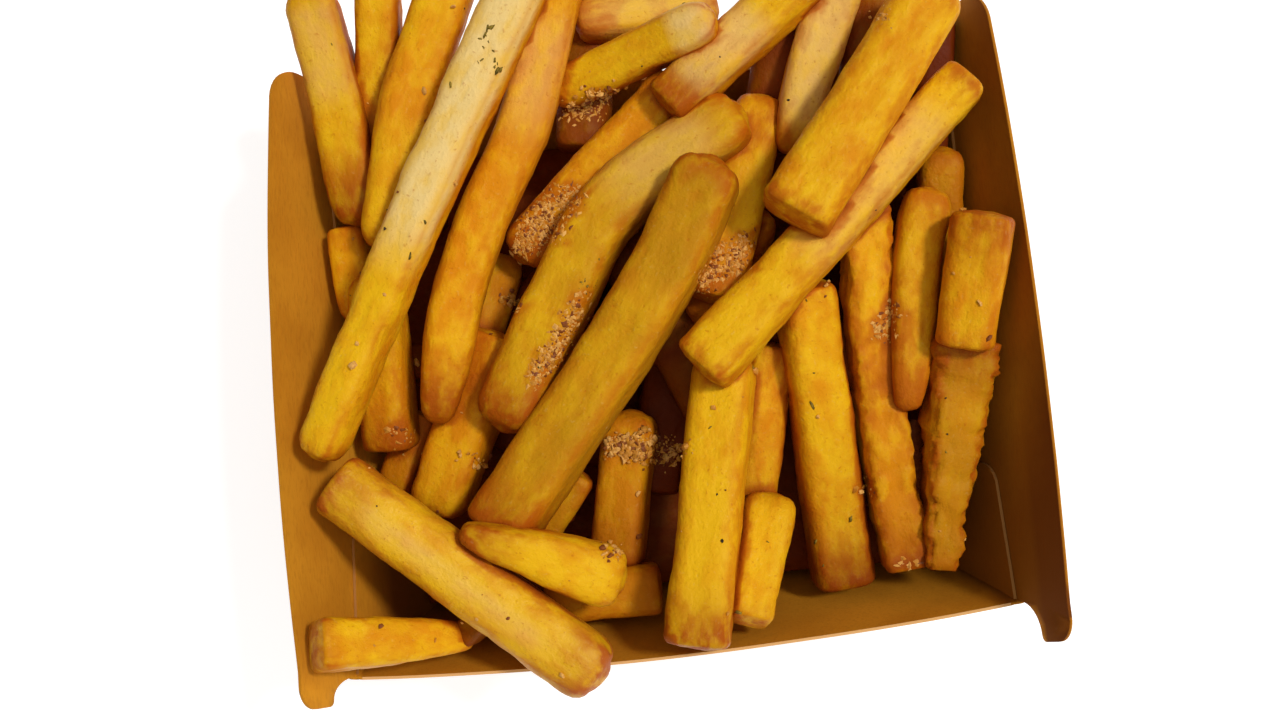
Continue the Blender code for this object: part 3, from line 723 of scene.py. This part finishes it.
def makeFry(bar, draw, look):
    crust = look.get("crust", 0)
    shares = ringShares(bar, fryShape["crustyGap"] if crust else fryShape["ringGap"])
    bm = subdividedBar(len(shares) - 2, fryShape["crustyCuts"] if crust else fryShape["sideCuts"])
    lookLayer, grainLayer, shadeDepthLayer, glossLayer = addLayers(bm)
    length = bar.length()
    roll = math.radians(draw.uniform(-fryShape["roll"], fryShape["roll"]))
    twist = math.radians(draw.uniform(-fryShape["twist"], fryShape["twist"]))
    seed = Vector([draw.uniform(-50, 50) for _ in range(3)])
    corner = look.get("corner", fryShape["corner"]) * draw.uniform(*fryShape["cornerChange"])
    toneChange = browningAndShading["toneChange"]
    sideTones = [draw.uniform(-toneChange, toneChange) for _ in range(4)]
    rough = 1 + fryShape["crust"] * crust
    frostAndSheen, frostAndSheenStart, frostAndSheenStop = look.get("frostAndSheen", (0, 0, 1))
    frames = []
    for share in shares:
        ahead = (bar.centre(min(share + 0.02, 1)) - bar.centre(max(share - 0.02, 0))).normalized()
        across = ahead.cross(Vector((0, 0, 1))).normalized()
        turn = Matrix.Rotation(roll + twist * (share - 0.5), 2)
        frames.append((bar.centre(share), ahead, across, across.cross(ahead), turn, bar.size(share)))
    for vert in bm.verts:
        ring = round((vert.co.z + 1) / 2 * (len(shares) - 1))
        share = shares[ring]
        centre, ahead, across, above, turn, (halfWidth, halfHeight) = frames[ring]
        flat = roundedSquare(vert.co.x, vert.co.y, corner)
        a, b = turn @ flat
        side = abs(abs(flat.x) - abs(flat.y))
        distance = min(share, 1 - share) * length
        local = Vector((share * length, a * halfWidth, b * halfHeight)) / mm
        bump = sum(noise.noise((local + seed) / size) * height * (1 if size > 5 else rough)
                   for size, height in fryShape["waves"]) * mm
        bump *= smooth(distance, -2 * mm, 3 * mm)
        flake = noise.noise((local + seed) / fryShape["flakeSize"]) * smooth(1 - side, 0.55, 0.95)
        bump += fryShape["flakes"] * crust * flake
        bump -= fryShape["hollow"] * side ** 2 * smooth(distance, 0, 3 * mm)
        grow = 1 + bump / max(halfWidth, halfHeight)
        place = centre + (across * a * halfWidth + above * b * halfHeight) * grow
        if ring in (0, len(shares) - 1):
            inside = 1 - max(abs(vert.co.x), abs(vert.co.y)) ** 2
            way = -1 if ring == 0 else 1
            bulge = fryShape["tipBulge"][bar.ends[0 if ring == 0 else 1]]
            dent = noise.noise((local + seed) / fryShape["dentSize"]) * fryShape["tipDent"]
            place += ahead * way * inside * (bulge * halfWidth + dent)
        vert.co = place
        edge = smooth(1 - side, *browningAndShading["edgeShare"])
        # painted shade: the side faces are browner and more orange than the top
        sideShade = smooth(abs(flat.x) - abs(flat.y), *browningAndShading["sideShadeShare"])
        tip = 1 - smooth(distance, *browningAndShading["tipReach"])
        # the ends are browned, partly as painted shade
        endReach = browningAndShading["endReach"]
        endBrownAndShade = look.get("brownShadeStart", 0) * (1 - smooth(share * length, 0, endReach))
        endBrownAndShade += look.get("brownShadeStop", 0) * (1 - smooth((1 - share) * length, 0, endReach))
        brownedAndShade = browningAndShading["edge"] * edge + browningAndShading["tip"] * tip + browningAndShading["end"] * endBrownAndShade
        brownedAndShade += browningAndShading["crust"] * crust * edge + browningAndShading["side"] * sideShade
        face = 0 if abs(flat.x) > abs(flat.y) else 1
        face += 2 if (flat.x if face == 0 else flat.y) > 0 else 0
        # painted shade: the low pieces are more orange
        lowShadeTone = fryShape["lowShadeTone"] * (1 - smooth(place.z, *fryShape["lowShadeHeights"]))
        tone = look["tone"] + sideTones[face] * side + browningAndShading["sideShadeTone"] * sideShade + lowShadeTone
        # painted highlight: pale frost on the upper side only, partly real pale patches, and along a
        # ridge
        fade = browningAndShading["frostAndSheenFade"]
        upper = smooth(b, *browningAndShading["frostAndSheenUpper"])
        upper *= smooth(share, frostAndSheenStart - 0.75 * fade, frostAndSheenStart + 0.5 * fade)
        upper *= 1 - smooth(share, frostAndSheenStop - fade, frostAndSheenStop + fade)
        if "highlightRidge" in look:
            upper *= 1 - smooth(abs(a - look["highlightRidge"]), *browningAndShading["highlightRidgeFade"])
        frostAndSheenAmount = frostAndSheen * upper * (1 - edge * (1 - browningAndShading["frostAndSheenAtEdge"]))
        vert[lookLayer] = (max(tone, 0), min(brownedAndShade, 1), frostAndSheenAmount, look.get("olive", 0))
        vert[grainLayer] = (local + seed * 7) * mm
        # painted shade: deep pieces darker, less where they hang out into the open; low pieces and
        # browned ends darker too
        deep = look.get("deep", 0) * (1 - smooth(place.y, *fryShape["hangOver"]))
        vert[shadeDepthLayer] = min(deep + paintedLowShade(place.z) + browningAndShading["endShade"] * endBrownAndShade, 1)
        vert[glossLayer] = look.get("gloss", 0)
    bmesh.ops.recalc_face_normals(bm, faces=bm.faces)
    return bm


def joined(name, parts, material, shade=True):
    bm = bmesh.new()
    for part in parts:
        mesh = bpy.data.meshes.new("part")
        part.to_mesh(mesh)
        part.free()
        bm.from_mesh(mesh)
        bpy.data.meshes.remove(mesh)
    mesh = bpy.data.meshes.new(name)
    bm.to_mesh(mesh)
    bm.free()
    if shade:
        mesh.shade_smooth()
    mesh.materials.append(material)
    thing = bpy.data.objects.new(name, mesh)
    bpy.context.scene.collection.objects.link(thing)
    return thing


def paintedLowShade(height):
    # painted shade: the low pieces are darker, as they lie in the shade of those above
    return fryShape["lowShade"] * (1 - smooth(height, fryShape["darkBelow"], fryShape["fullColour"]))


def makeCore(material):
    # the mass of broken pieces low in the tray, painted dark as shade
    bm = bmesh.new()
    bmesh.ops.create_cube(bm, size=2)
    bmesh.ops.subdivide_edges(bm, edges=bm.edges, cuts=coreSize["cuts"], use_grid_fill=True)
    lookLayer, grainLayer, shadeDepthLayer, _ = addLayers(bm)
    bottom = tray["board"] + coreSize["lift"]
    for vert in bm.verts:
        side, end, level = vert.co
        top = coreTop(end * coreSize["halfDepth"])
        height = bottom + (top - bottom) * (level + 1) / 2
        halfWidth = sideInset(height) - tray["board"] - coreSize["gap"]
        halfDepth = tray["baseHalfDepth"] + tray["endFlare"] * (height - tray["board"]) - coreSize["gap"]
        place = Vector((side * halfWidth, end * halfDepth, height))
        if level > 0.99:
            lump = noise.noise(place / coreSize["lumps"]) * coreSize["lumpHeight"]
            place.z += lump * (1 - max(abs(side), abs(end)) ** 6)
        vert.co = place
        # painted shade: the core is orange, browned and dark
        vert[lookLayer] = (1.0, 1.0, 0, 0)
        vert[grainLayer] = place
        vert[shadeDepthLayer] = coreSize["depth"]
    bmesh.ops.recalc_face_normals(bm, faces=bm.faces)
    return joined("lowCore", [bm], material)


# painted shade in crevices: how far rays look, and how much darker it is close to crumbs
creviceShading = dict(
    reach=7 * mm,              # how far away something still closes a point in
    lift=0.3 * mm,
    ways=14,
    crumbReach=1.3 * mm,
    crumbShade=0.26,
)


def paintCreviceShade(thing, tree, crumbSpots):
    # painted shade: how closed in each point is, so the potato is browner and darker between fries and
    # under crumbs
    mesh = thing.data
    count = len(mesh.vertices)
    near = KDTree(len(crumbSpots))
    for number, (place, _) in enumerate(crumbSpots):
        near.insert(place, number)
    near.balance()
    golden = math.pi * (3 - math.sqrt(5))
    ways = []
    for number in range(creviceShading["ways"]):
        level = 1 - (2 * number + 1) / creviceShading["ways"]
        ring = math.sqrt(1 - level ** 2)
        ways.append(Vector((ring * math.cos(golden * number), ring * math.sin(golden * number), level)))
    shadeAmount = np.zeros(count, dtype=np.float32)
    for vertex in mesh.vertices:
        normal = vertex.normal
        origin = vertex.co + normal * creviceShading["lift"]
        total = 0
        for way in ways:
            # added to the normal, so that no ray turns back into the fry
            distance = tree.ray_cast(origin, way + normal * 1.01, creviceShading["reach"])[3]
            if distance is not None:
                total += 1 - distance / creviceShading["reach"]
        shadeAmount[vertex.index] = total / len(ways)
        # painted shade: darker again close under crumbs
        distance = near.find(vertex.co)[2]
        if distance < creviceShading["crumbReach"]:
            shadeAmount[vertex.index] += creviceShading["crumbShade"] * (1 - distance / creviceShading["crumbReach"])
    mesh.attributes.new("creviceShade", "FLOAT", "POINT").data.foreach_set("value", shadeAmount)


# Crumbs, herbs and pepper, dropped along the line of sight or straight down

Patch = namedtuple("Patch", "middle reach turn count")

sprinkle = dict(
    clump=5,                       # bits that lie together
    spread=4.5,                    # pixels from a clump's middle
    skew=1.8,                      # how much more often bits are small
    rough=(0.55, 1.25),            # how uneven they are
    dropFrom=0.2,                  # metres above the table, for the loose ones
    steepest=0.2,                  # the least upward slope that they stay on
    seed=5,
)

# for each kind of bit: its material, its sizes in mm, how thick and wide it is for its length,
# how far out of the surface it stands, and how many lie loose
crumbLook = dict(
    material="seasoningCrumbs",
    roughness=0.6,
    specular=0.35,
    grain=1800,
    mottled=(0.35, 0.7, 0, 0.4),
    mottling=(0.30, 0.10, 0.01),
    bump=0.4,
    colours=[(0.74, 0.38, 0.08), (0.74, 0.38, 0.08), (0.58, 0.24, 0.02), (0.58, 0.24, 0.02),
             (0.20, 0.045, 0.004)],
    sizes=(0.4, 1.5),
    thick=(0.4, 0.8),
    wide=(0.45, 1.0),
    lift=0.5,
    shade=False,
    loose=50,
)
herbLook = dict(
    material="driedHerb",
    roughness=0.7,
    specular=0.3,
    grain=900,
    mottled=(0.35, 0.65, 0, 1),
    mottling=(0.28, 0.18, 0.014),
    bump=0.3,
    colours=[(0.13, 0.085, 0.006)],
    sizes=(0.6, 1.7),
    thick=(0.1, 0.16),
    wide=(0.3, 0.6),
    lift=1.2,
    shade=True,
    loose=16,
)
pepperLook = dict(
    material="blackPepper",
    roughness=0.6,
    specular=0.3,
    grain=2500,
    mottled=(0.4, 0.6, 0, 1),
    mottling=(0.07, 0.035, 0.014),
    bump=0.5,
    colours=[(0.012, 0.006, 0.004)],
    sizes=(0.35, 0.65),
    thick=(0.5, 0.8),
    wide=(0.7, 1.0),
    lift=0.5,
    shade=True,
    loose=5,
)

crumbPatches = [
    Patch((592, 104), (30, 11), -25, 240),
    Patch((548, 218), (46, 18), -50, 720),
    Patch((560, 338), (54, 8), -58, 430),
    Patch((645, 447), (38, 13), 5, 460),
    Patch((728, 262), (36, 15), -45, 420),
    Patch((888, 325), (9, 18), 20, 110),
    Patch((866, 490), (4, 14), 0, 18),
    Patch((610, 552), (8, 5), 0, 30),
    Patch((400, 438), (12, 10), 0, 26),
    Patch((660, 540), (6, 24), 0, 14),
    Patch((880, 18), (10, 7), 0, 24),
    Patch((510, 300), (9, 7), 0, 30),
    Patch((470, 468), (30, 20), 0, 24),
    Patch((905, 566), (12, 4), 0, 14),
]

herbPatches = [
    Patch((487, 36), (9, 5), 0, 7),
    Patch((496, 62), (9, 4), 0, 6),
    Patch((590, 286), (34, 4), -58, 70),
    Patch((556, 366), (24, 7), -50, 16),
    Patch((548, 212), (36, 12), -50, 16),
]

herbSpots = [
    (485, 35), (482, 60), (495, 62), (643, 162), (730, 127), (505, 175), (829, 37), (352, 296),
    (388, 422), (615, 258), (600, 290), (425, 222), (768, 542), (530, 460), (904, 483), (862, 405),
    (738, 612), (812, 405), (440, 250), (410, 256), (502, 200),
]

pepperSpots = [(642, 66), (720, 57), (788, 100), (876, 210), (946, 398), (385, 229), (722, 541)]


def dropOn(tree, origin, direction):
    place, normal, _, _ = tree.ray_cast(origin, direction.normalized())
    return (place, normal) if place else None


def bitMesh(place, normal, sizes, colour, draw, lift):
    # one small irregular bit that lies on the surface
    bm = bmesh.new()
    bmesh.ops.create_icosphere(bm, subdivisions=1, radius=1)
    layer = bm.verts.layers.float_color.new("look")
    turn = Matrix.Rotation(draw.uniform(0, 2 * math.pi), 3, "Z")
    lie = normal.to_track_quat("Z", "Y").to_matrix()
    for vert in bm.verts:
        rough = draw.uniform(*sprinkle["rough"])
        local = Vector([value * size for value, size in zip(vert.co, sizes)]) * rough
        vert.co = place + lie @ (turn @ local) + normal * sizes[2] * lift
        vert[layer] = (*colour, 1)
    return bm


def scatter(name, hits, look, draw):
    low, high = look["sizes"]
    bits = []
    for place, normal in hits:
        size = (low + (high - low) * draw.random() ** sprinkle["skew"]) * mm / 2
        sizes = (size, size * draw.uniform(*look["wide"]), size * draw.uniform(*look["thick"]))
        bits.append(bitMesh(place, normal, sizes, draw.choice(look["colours"]), draw, look["lift"]))
    return joined(name, bits, makeBitMaterial(look), look["shade"])


def patchHits(tree, patches, draw):
    hits = []
    for patch in patches:
        turn = math.radians(-patch.turn)
        for number in range(patch.count):
            if number % sprinkle["clump"] == 0:
                reach = math.sqrt(draw.random())
                angle = draw.uniform(0, 2 * math.pi)
            x = patch.reach[0] * reach * math.cos(angle) + draw.gauss(0, sprinkle["spread"])
            y = patch.reach[1] * reach * math.sin(angle) + draw.gauss(0, sprinkle["spread"])
            pixel = (patch.middle[0] + x * math.cos(turn) + y * math.sin(turn),
                     patch.middle[1] - x * math.sin(turn) + y * math.cos(turn))
            hit = dropOn(tree, viewPoint, viewRay(pixel))
            if hit:
                hits.append(hit)
    return hits


def looseHits(tree, count, low, high, draw):
    hits = []
    while len(hits) < count:
        x = draw.uniform(low.x, high.x)
        y = draw.uniform(low.y, high.y)
        hit = dropOn(tree, Vector((x, y, sprinkle["dropFrom"])), Vector((0, 0, -1)))
        if hit and hit[1].z > sprinkle["steepest"]:
            hits.append(hit)
    return hits


# Stage, lights and camera

lighting = dict(
    keyFrom=(0.50, 0.08, 0.86),
    keyStrength=1.9,
    keyAngle=8,
    fillFrom=(0.35, -0.25, 0.9),
    fillStrength=1.0,
    fillAngle=80,
    worldStrength=0.22,
    worldColour=(1.0, 0.95, 0.88, 1),
    floorSize=3,
    floorColour=(0.55, 0.55, 0.55, 1),
    floorGlow=0.75,
)


def makeStage():
    bm = bmesh.new()
    bmesh.ops.create_grid(bm, x_segments=1, y_segments=1, size=lighting["floorSize"])
    material, _, shader = newMaterial("paleFloor", 0.9, 0.1)
    shader.inputs["Base Color"].default_value = lighting["floorColour"]
    shader.inputs["Emission Color"].default_value = (1, 1, 1, 1)
    shader.inputs["Emission Strength"].default_value = lighting["floorGlow"]
    joined("paleFloor", [bm], material, shade=False)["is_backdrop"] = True


def makeLights():
    for name in ("key", "fill"):
        sun = bpy.data.lights.new(name, "SUN")
        sun.energy = lighting[name + "Strength"]
        sun.angle = math.radians(lighting[name + "Angle"])
        lamp = bpy.data.objects.new(name, sun)
        lamp.rotation_euler = Vector(lighting[name + "From"]).to_track_quat("Z", "Y").to_euler()
        bpy.context.scene.collection.objects.link(lamp)
    world = bpy.data.worlds.new("studio")
    world.use_nodes = True
    background = world.node_tree.nodes["Background"]
    background.inputs["Color"].default_value = lighting["worldColour"]
    background.inputs["Strength"].default_value = lighting["worldStrength"]
    bpy.context.scene.world = world
    bpy.context.scene.view_settings.view_transform = "Standard"


def makeCamera():
    data = bpy.data.cameras.new("camera")
    data.sensor_width = shot["sensorWidth"]
    data.lens = shot["focalPixels"] / shot["pictureWidth"] * shot["sensorWidth"]
    data.clip_start, data.clip_end = shot["clip"]
    camera = bpy.data.objects.new("camera", data)
    camera.location = viewPoint
    camera.rotation_euler = [math.radians(angle) for angle in shot["turn"]]
    bpy.context.scene.collection.objects.link(camera)
    bpy.context.scene.camera = camera


# The tray: one folded sheet with tabs glued inside its corners

trayShape = dict(
    earFillet={-1: 5.4 * mm, 1: 0.4 * mm},
    earLowerRound=1.0 * mm,
    earUpperRound={-1: 3.6 * mm, 1: 7.0 * mm},
    frontLeftLean=2.5 * mm,
    bows={"left": 1.8 * mm, "right": 1.3 * mm, "front": 2.3 * mm, "back": 1.8 * mm},
    bowPower=1.5,              # how the bows grow towards the rim
    foldRadius=0.7 * mm,
    tabEnd=22 * mm,
    tabDrop=2 * mm,
    tabRound=4.5 * mm,
    tabGap=0.12 * mm,
    wave=0.12 * mm,            # how uneven the board is
    waveSeed=4,
    bandWidth=3,               # mm between the cuts that let the walls bow
    bandReach=(54, 48, 48),    # mm, how far out and up they go
)

# painted shade on the board: how dark it is, and between which measures it comes up
boardShading = dict(
    front=0.75,
    rim=0.6,
    corner=0.95,
    onWall=(-2.5 * mm, -1 * mm),
    rimHeights=(38 * mm, 48 * mm),
    cornerAcross=(22 * mm, 34 * mm),
    cornerDepth=(12 * mm, 28 * mm),
    cornerHeights=(23 * mm, 32 * mm),
    outside=0.12,
)


def rimHalfDepth(side, end):
    lean = trayShape["frontLeftLean"] if (side, end) == (-1, -1) else 0
    return tray["baseHalfDepth"] + tray["endFlare"] * (tray["endHeight"] - tray["board"]) + lean


def bowed(point):
    # push a point of a wall outwards, most at the middle of its rim
    x, y, z = point
    rise = (z - tray["board"]) / tray["sideHeight"]
    wholeDepth = tray["baseHalfDepth"] + tray["endFlare"] * tray["endHeight"]
    bows = trayShape["bows"]
    if abs(x) > tray["baseHalfWidth"] and abs(x) >= sideInset(z) - 2 * tray["board"]:
        along = 1 - (y / wholeDepth) ** 2
        bow = bows["left" if x < 0 else "right"]
        x += math.copysign(bow * max(along, 0) * max(rise, 0) ** trayShape["bowPower"], x)
    elif abs(y) > tray["baseHalfDepth"]:
        along = 1 - (x / sideInset(z)) ** 2
        rise *= tray["sideHeight"] / tray["endHeight"]
        bow = bows["front" if y < 0 else "back"]
        y += math.copysign(bow * max(along, 0) * max(rise, 0) ** trayShape["bowPower"], y)
    place = Vector((x, y, z))
    wave = noise.noise_vector(place / (16 * mm)) * trayShape["wave"] * smooth(z, 1 * mm, 10 * mm)
    return place + wave


def arc(centre, radius, start, stop, steps):
    turns = [math.radians(start + (stop - start) * step / steps) for step in range(steps + 1)]
    return [(centre[0] + radius * math.cos(turn), centre[1] + radius * math.sin(turn)) for turn in turns]


def earOutline(side, end):
    # from a low rim's corner round the ear to the side wall's top edge, as depth and height
    corner = rimHalfDepth(side, end)
    fillet, upperRound = trayShape["earFillet"][end], trayShape["earUpperRound"][end]
    lowerRound = trayShape["earLowerRound"]
    reach = max(tray["earReach"][end], corner + fillet * 0.75)
    across = min(fillet, reach - corner - lowerRound)
    base, top = tray["endHeight"], tray["sideHeight"]
    points = [(corner, base)]
    for step in range(1, 11):
        turn = math.radians(90 * step / 10)
        points.append((corner + across * (1 - math.cos(turn)), base + fillet * math.sin(turn)))
    points += arc((reach - lowerRound, base + fillet + lowerRound), lowerRound, -90, 0, 4)[1:]
    points += arc((reach - upperRound, top - upperRound), upperRound, 0, 90, 10)
    return points


def cutInBands(bm):
    step = trayShape["bandWidth"]
    wide, deep, high = trayShape["bandReach"]
    cuts = [((x * mm, 0, 0), (1, 0, 0)) for x in range(-wide, wide + 1, step)]
    cuts += [((0, y * mm, 0), (0, 1, 0)) for y in range(-deep, deep + 1, step)]
    cuts += [((0, 0, z * mm), (0, 0, 1)) for z in range(2 * step, high, 2 * step)]
    for place, direction in cuts:
        geometry = bm.verts[:] + bm.edges[:] + bm.faces[:]
        bmesh.ops.bisect_plane(bm, geom=geometry, plane_co=place, plane_no=direction)


def thicken(bm, thickness):
    # give the sheet its thickness, and the cut edges the second material
    inner = set(bm.faces)
    bmesh.ops.solidify(bm, geom=bm.faces[:], thickness=thickness)
    bmesh.ops.recalc_face_normals(bm, faces=bm.faces)
    for face in bm.faces:
        face.smooth = True
        sides = sorted(edge.calc_length() for edge in face.edges)
        thin = len(sides) == 4 and abs(sides[0] - thickness) < 0.1 * thickness
        if face not in inner and thin and abs(sides[1] - thickness) < 0.1 * thickness:
            face.material_index = 1
    for edge in bm.edges:
        edge.smooth = len({face.material_index for face in edge.link_faces}) == 1


def foldedSheet():
    bm = bmesh.new()
    base, rim = {}, {}
    for side in (-1, 1):
        for end in (-1, 1):
            corner = (side * tray["baseHalfWidth"], end * tray["baseHalfDepth"], tray["board"])
            base[side, end] = bm.verts.new(corner)
            top = tray["endHeight"]
            rim[side, end] = bm.verts.new((side * sideInset(top), end * rimHalfDepth(side, end), top))
    bm.faces.new([base[-1, -1], base[1, -1], base[1, 1], base[-1, 1]])
    for end in (-1, 1):
        bm.faces.new([base[-1, end], rim[-1, end], rim[1, end], base[1, end]])
    for side in (-1, 1):
        edge = [base[side, -1], rim[side, -1]]
        for depth, height in earOutline(side, -1)[1:]:
            edge.append(bm.verts.new((side * sideInset(height), -depth, height)))
        for depth, height in reversed(earOutline(side, 1)[1:]):
            edge.append(bm.verts.new((side * sideInset(height), depth, height)))
        edge += [rim[side, 1], base[side, 1]]
        bm.faces.new(edge)
    bmesh.ops.recalc_face_normals(bm, faces=bm.faces)
    folds = [edge for edge in bm.edges if len(edge.link_faces) == 2]
    bmesh.ops.bevel(bm, geom=folds, affect="EDGES", offset=trayShape["foldRadius"], segments=3,
                    profile=0.5, material=-1)
    cutInBands(bm)
    for vert in bm.verts:
        vert.co = bowed(vert.co)
    lowest = min(bm.faces, key=lambda face: face.calc_center_median().z)
    if lowest.normal.z < 0:
        bmesh.ops.reverse_faces(bm, faces=bm.faces)
    thicken(bm, tray["board"])
    for face in bm.faces:
        middle = face.calc_center_median()
        if abs(middle.x) > sideInset(middle.z) - 3 * tray["board"]:
            face.material_index = 0     # the side walls' rims are as brown as their faces
    return bm


def cornerTab(side, end):
    # a tab glued to a side wall's inner face, its free edge showing as a light line
    gap = trayShape["tabGap"]
    away = gap + tray["board"]
    top = tray["endHeight"] - trayShape["tabDrop"]
    radius = trayShape["tabRound"]
    outline = [(tray["baseHalfDepth"] - gap, tray["board"] + 2 * gap)]
    outline.append((rimHalfDepth(side, end) - 3 * gap, tray["endHeight"] - gap))
    outline += arc((trayShape["tabEnd"] + radius, top - radius), radius, 90, 180, 8)
    outline.append((trayShape["tabEnd"], tray["board"] + 2 * gap))
    bm = bmesh.new()
    verts = [bm.verts.new((side * sideInset(height), end * depth, height)) for depth, height in outline]
    bm.faces.new(verts)
    cutInBands(bm)
    for vert in bm.verts:
        vert.co = bowed(vert.co) - Vector((side * away, 0, 0))
    bm.normal_update()
    if bm.faces[:][0].normal.x * side > 0:
        bmesh.ops.reverse_faces(bm, faces=bm.faces)
    thicken(bm, tray["board"])
    for face in bm.faces:
        face.material_index *= 2
    return bm


def paintBoardShade(mesh):
    # painted shade on the right wall, which faces away from the key light, most towards its front and
    # rim, and in the corner low at the front left, under the fries
    boardShade = np.zeros(len(mesh.vertices), dtype=np.float32)
    for vertex in mesh.vertices:
        x, y, z = vertex.co
        if vertex.normal.dot(Vector((-x, -y, boardShading["outside"]))) < 0:
            continue               # the outside gets no painted shade
        front = boardShading["front"] * smooth(-y, 0, tray["baseHalfDepth"])
        rim = boardShading["rim"] * smooth(z, *boardShading["rimHeights"])
        corner = boardShading["corner"] * (1 - smooth(z, *boardShading["cornerHeights"]))
        corner *= smooth(-x, *boardShading["cornerAcross"]) * smooth(-y, *boardShading["cornerDepth"])
        wall = smooth(x - sideInset(z), *boardShading["onWall"]) * (front + rim)
        boardShade[vertex.index] = min(wall + corner, 1)
    mesh.attributes.new("paintedBoardShade", "FLOAT", "POINT").data.foreach_set("value", boardShade)


def makeTray():
    noise.seed_set(trayShape["waveSeed"])
    parts = [foldedSheet()] + [cornerTab(side, end) for side in (-1, 1) for end in (-1, 1)]
    thing = joined("boardTray", parts, makeBoard("kraftBoard"), shade=False)
    thing.data.materials.append(makeBoard("cutBoard", boardLook["cut"]))
    thing.data.materials.append(makeBoard("tabEdge", boardLook["tabEdge"]))
    paintBoardShade(thing.data)
    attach(thing, "root")
    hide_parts("carton")


# Putting it together

makeStage()
makeLights()
makeCamera()
print("stage, lights and camera ready")

makeTray()
print("tray folded")

bars = hiddenBars() + barsFrom(fries)
settle(bars)
bars += barsFrom(props)
print("fries settled")

draw = random.Random(under["seed"] + 1)
potato = makePotato()
parts = [makeFry(bar, draw, fryLooks.get(bar.name, hiddenLook)) for bar in bars]
heap = joined("friesHeap", parts, potato)
core = makeCore(potato)
for piece in (heap, core):
    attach(piece, "root")
    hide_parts("fries")
print("fries shaped:", len(heap.data.polygons), "faces")

surface = BVHTree.FromObject(heap, bpy.context.evaluated_depsgraph_get())
corners = [Vector(corner) for corner in heap.bound_box]
low, high = corners[0], corners[6]
draw = random.Random(sprinkle["seed"])
patched = patchHits(surface, crumbPatches, draw)
paintCreviceShade(heap, surface, patched)
print("crevices painted")
hits = patched + looseHits(surface, crumbLook["loose"], low, high, draw)
bits = [scatter("seasoningCrumbs", hits, crumbLook, draw)]
kinds = (("herbFlakes", herbLook, herbSpots, herbPatches), ("pepperBits", pepperLook, pepperSpots, []))
for name, look, spots, patches in kinds:
    hits = [dropOn(surface, viewPoint, viewRay(pixel)) for pixel in spots]
    hits = [hit for hit in hits if hit] + patchHits(surface, patches, draw)
    hits += looseHits(surface, look["loose"], low, high, draw)
    bits.append(scatter(name, hits, look, draw))
for piece in bits:
    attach(piece, "root")
print("sprinkled:", sum(len(piece.data.polygons) for piece in bits), "faces")

low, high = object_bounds()
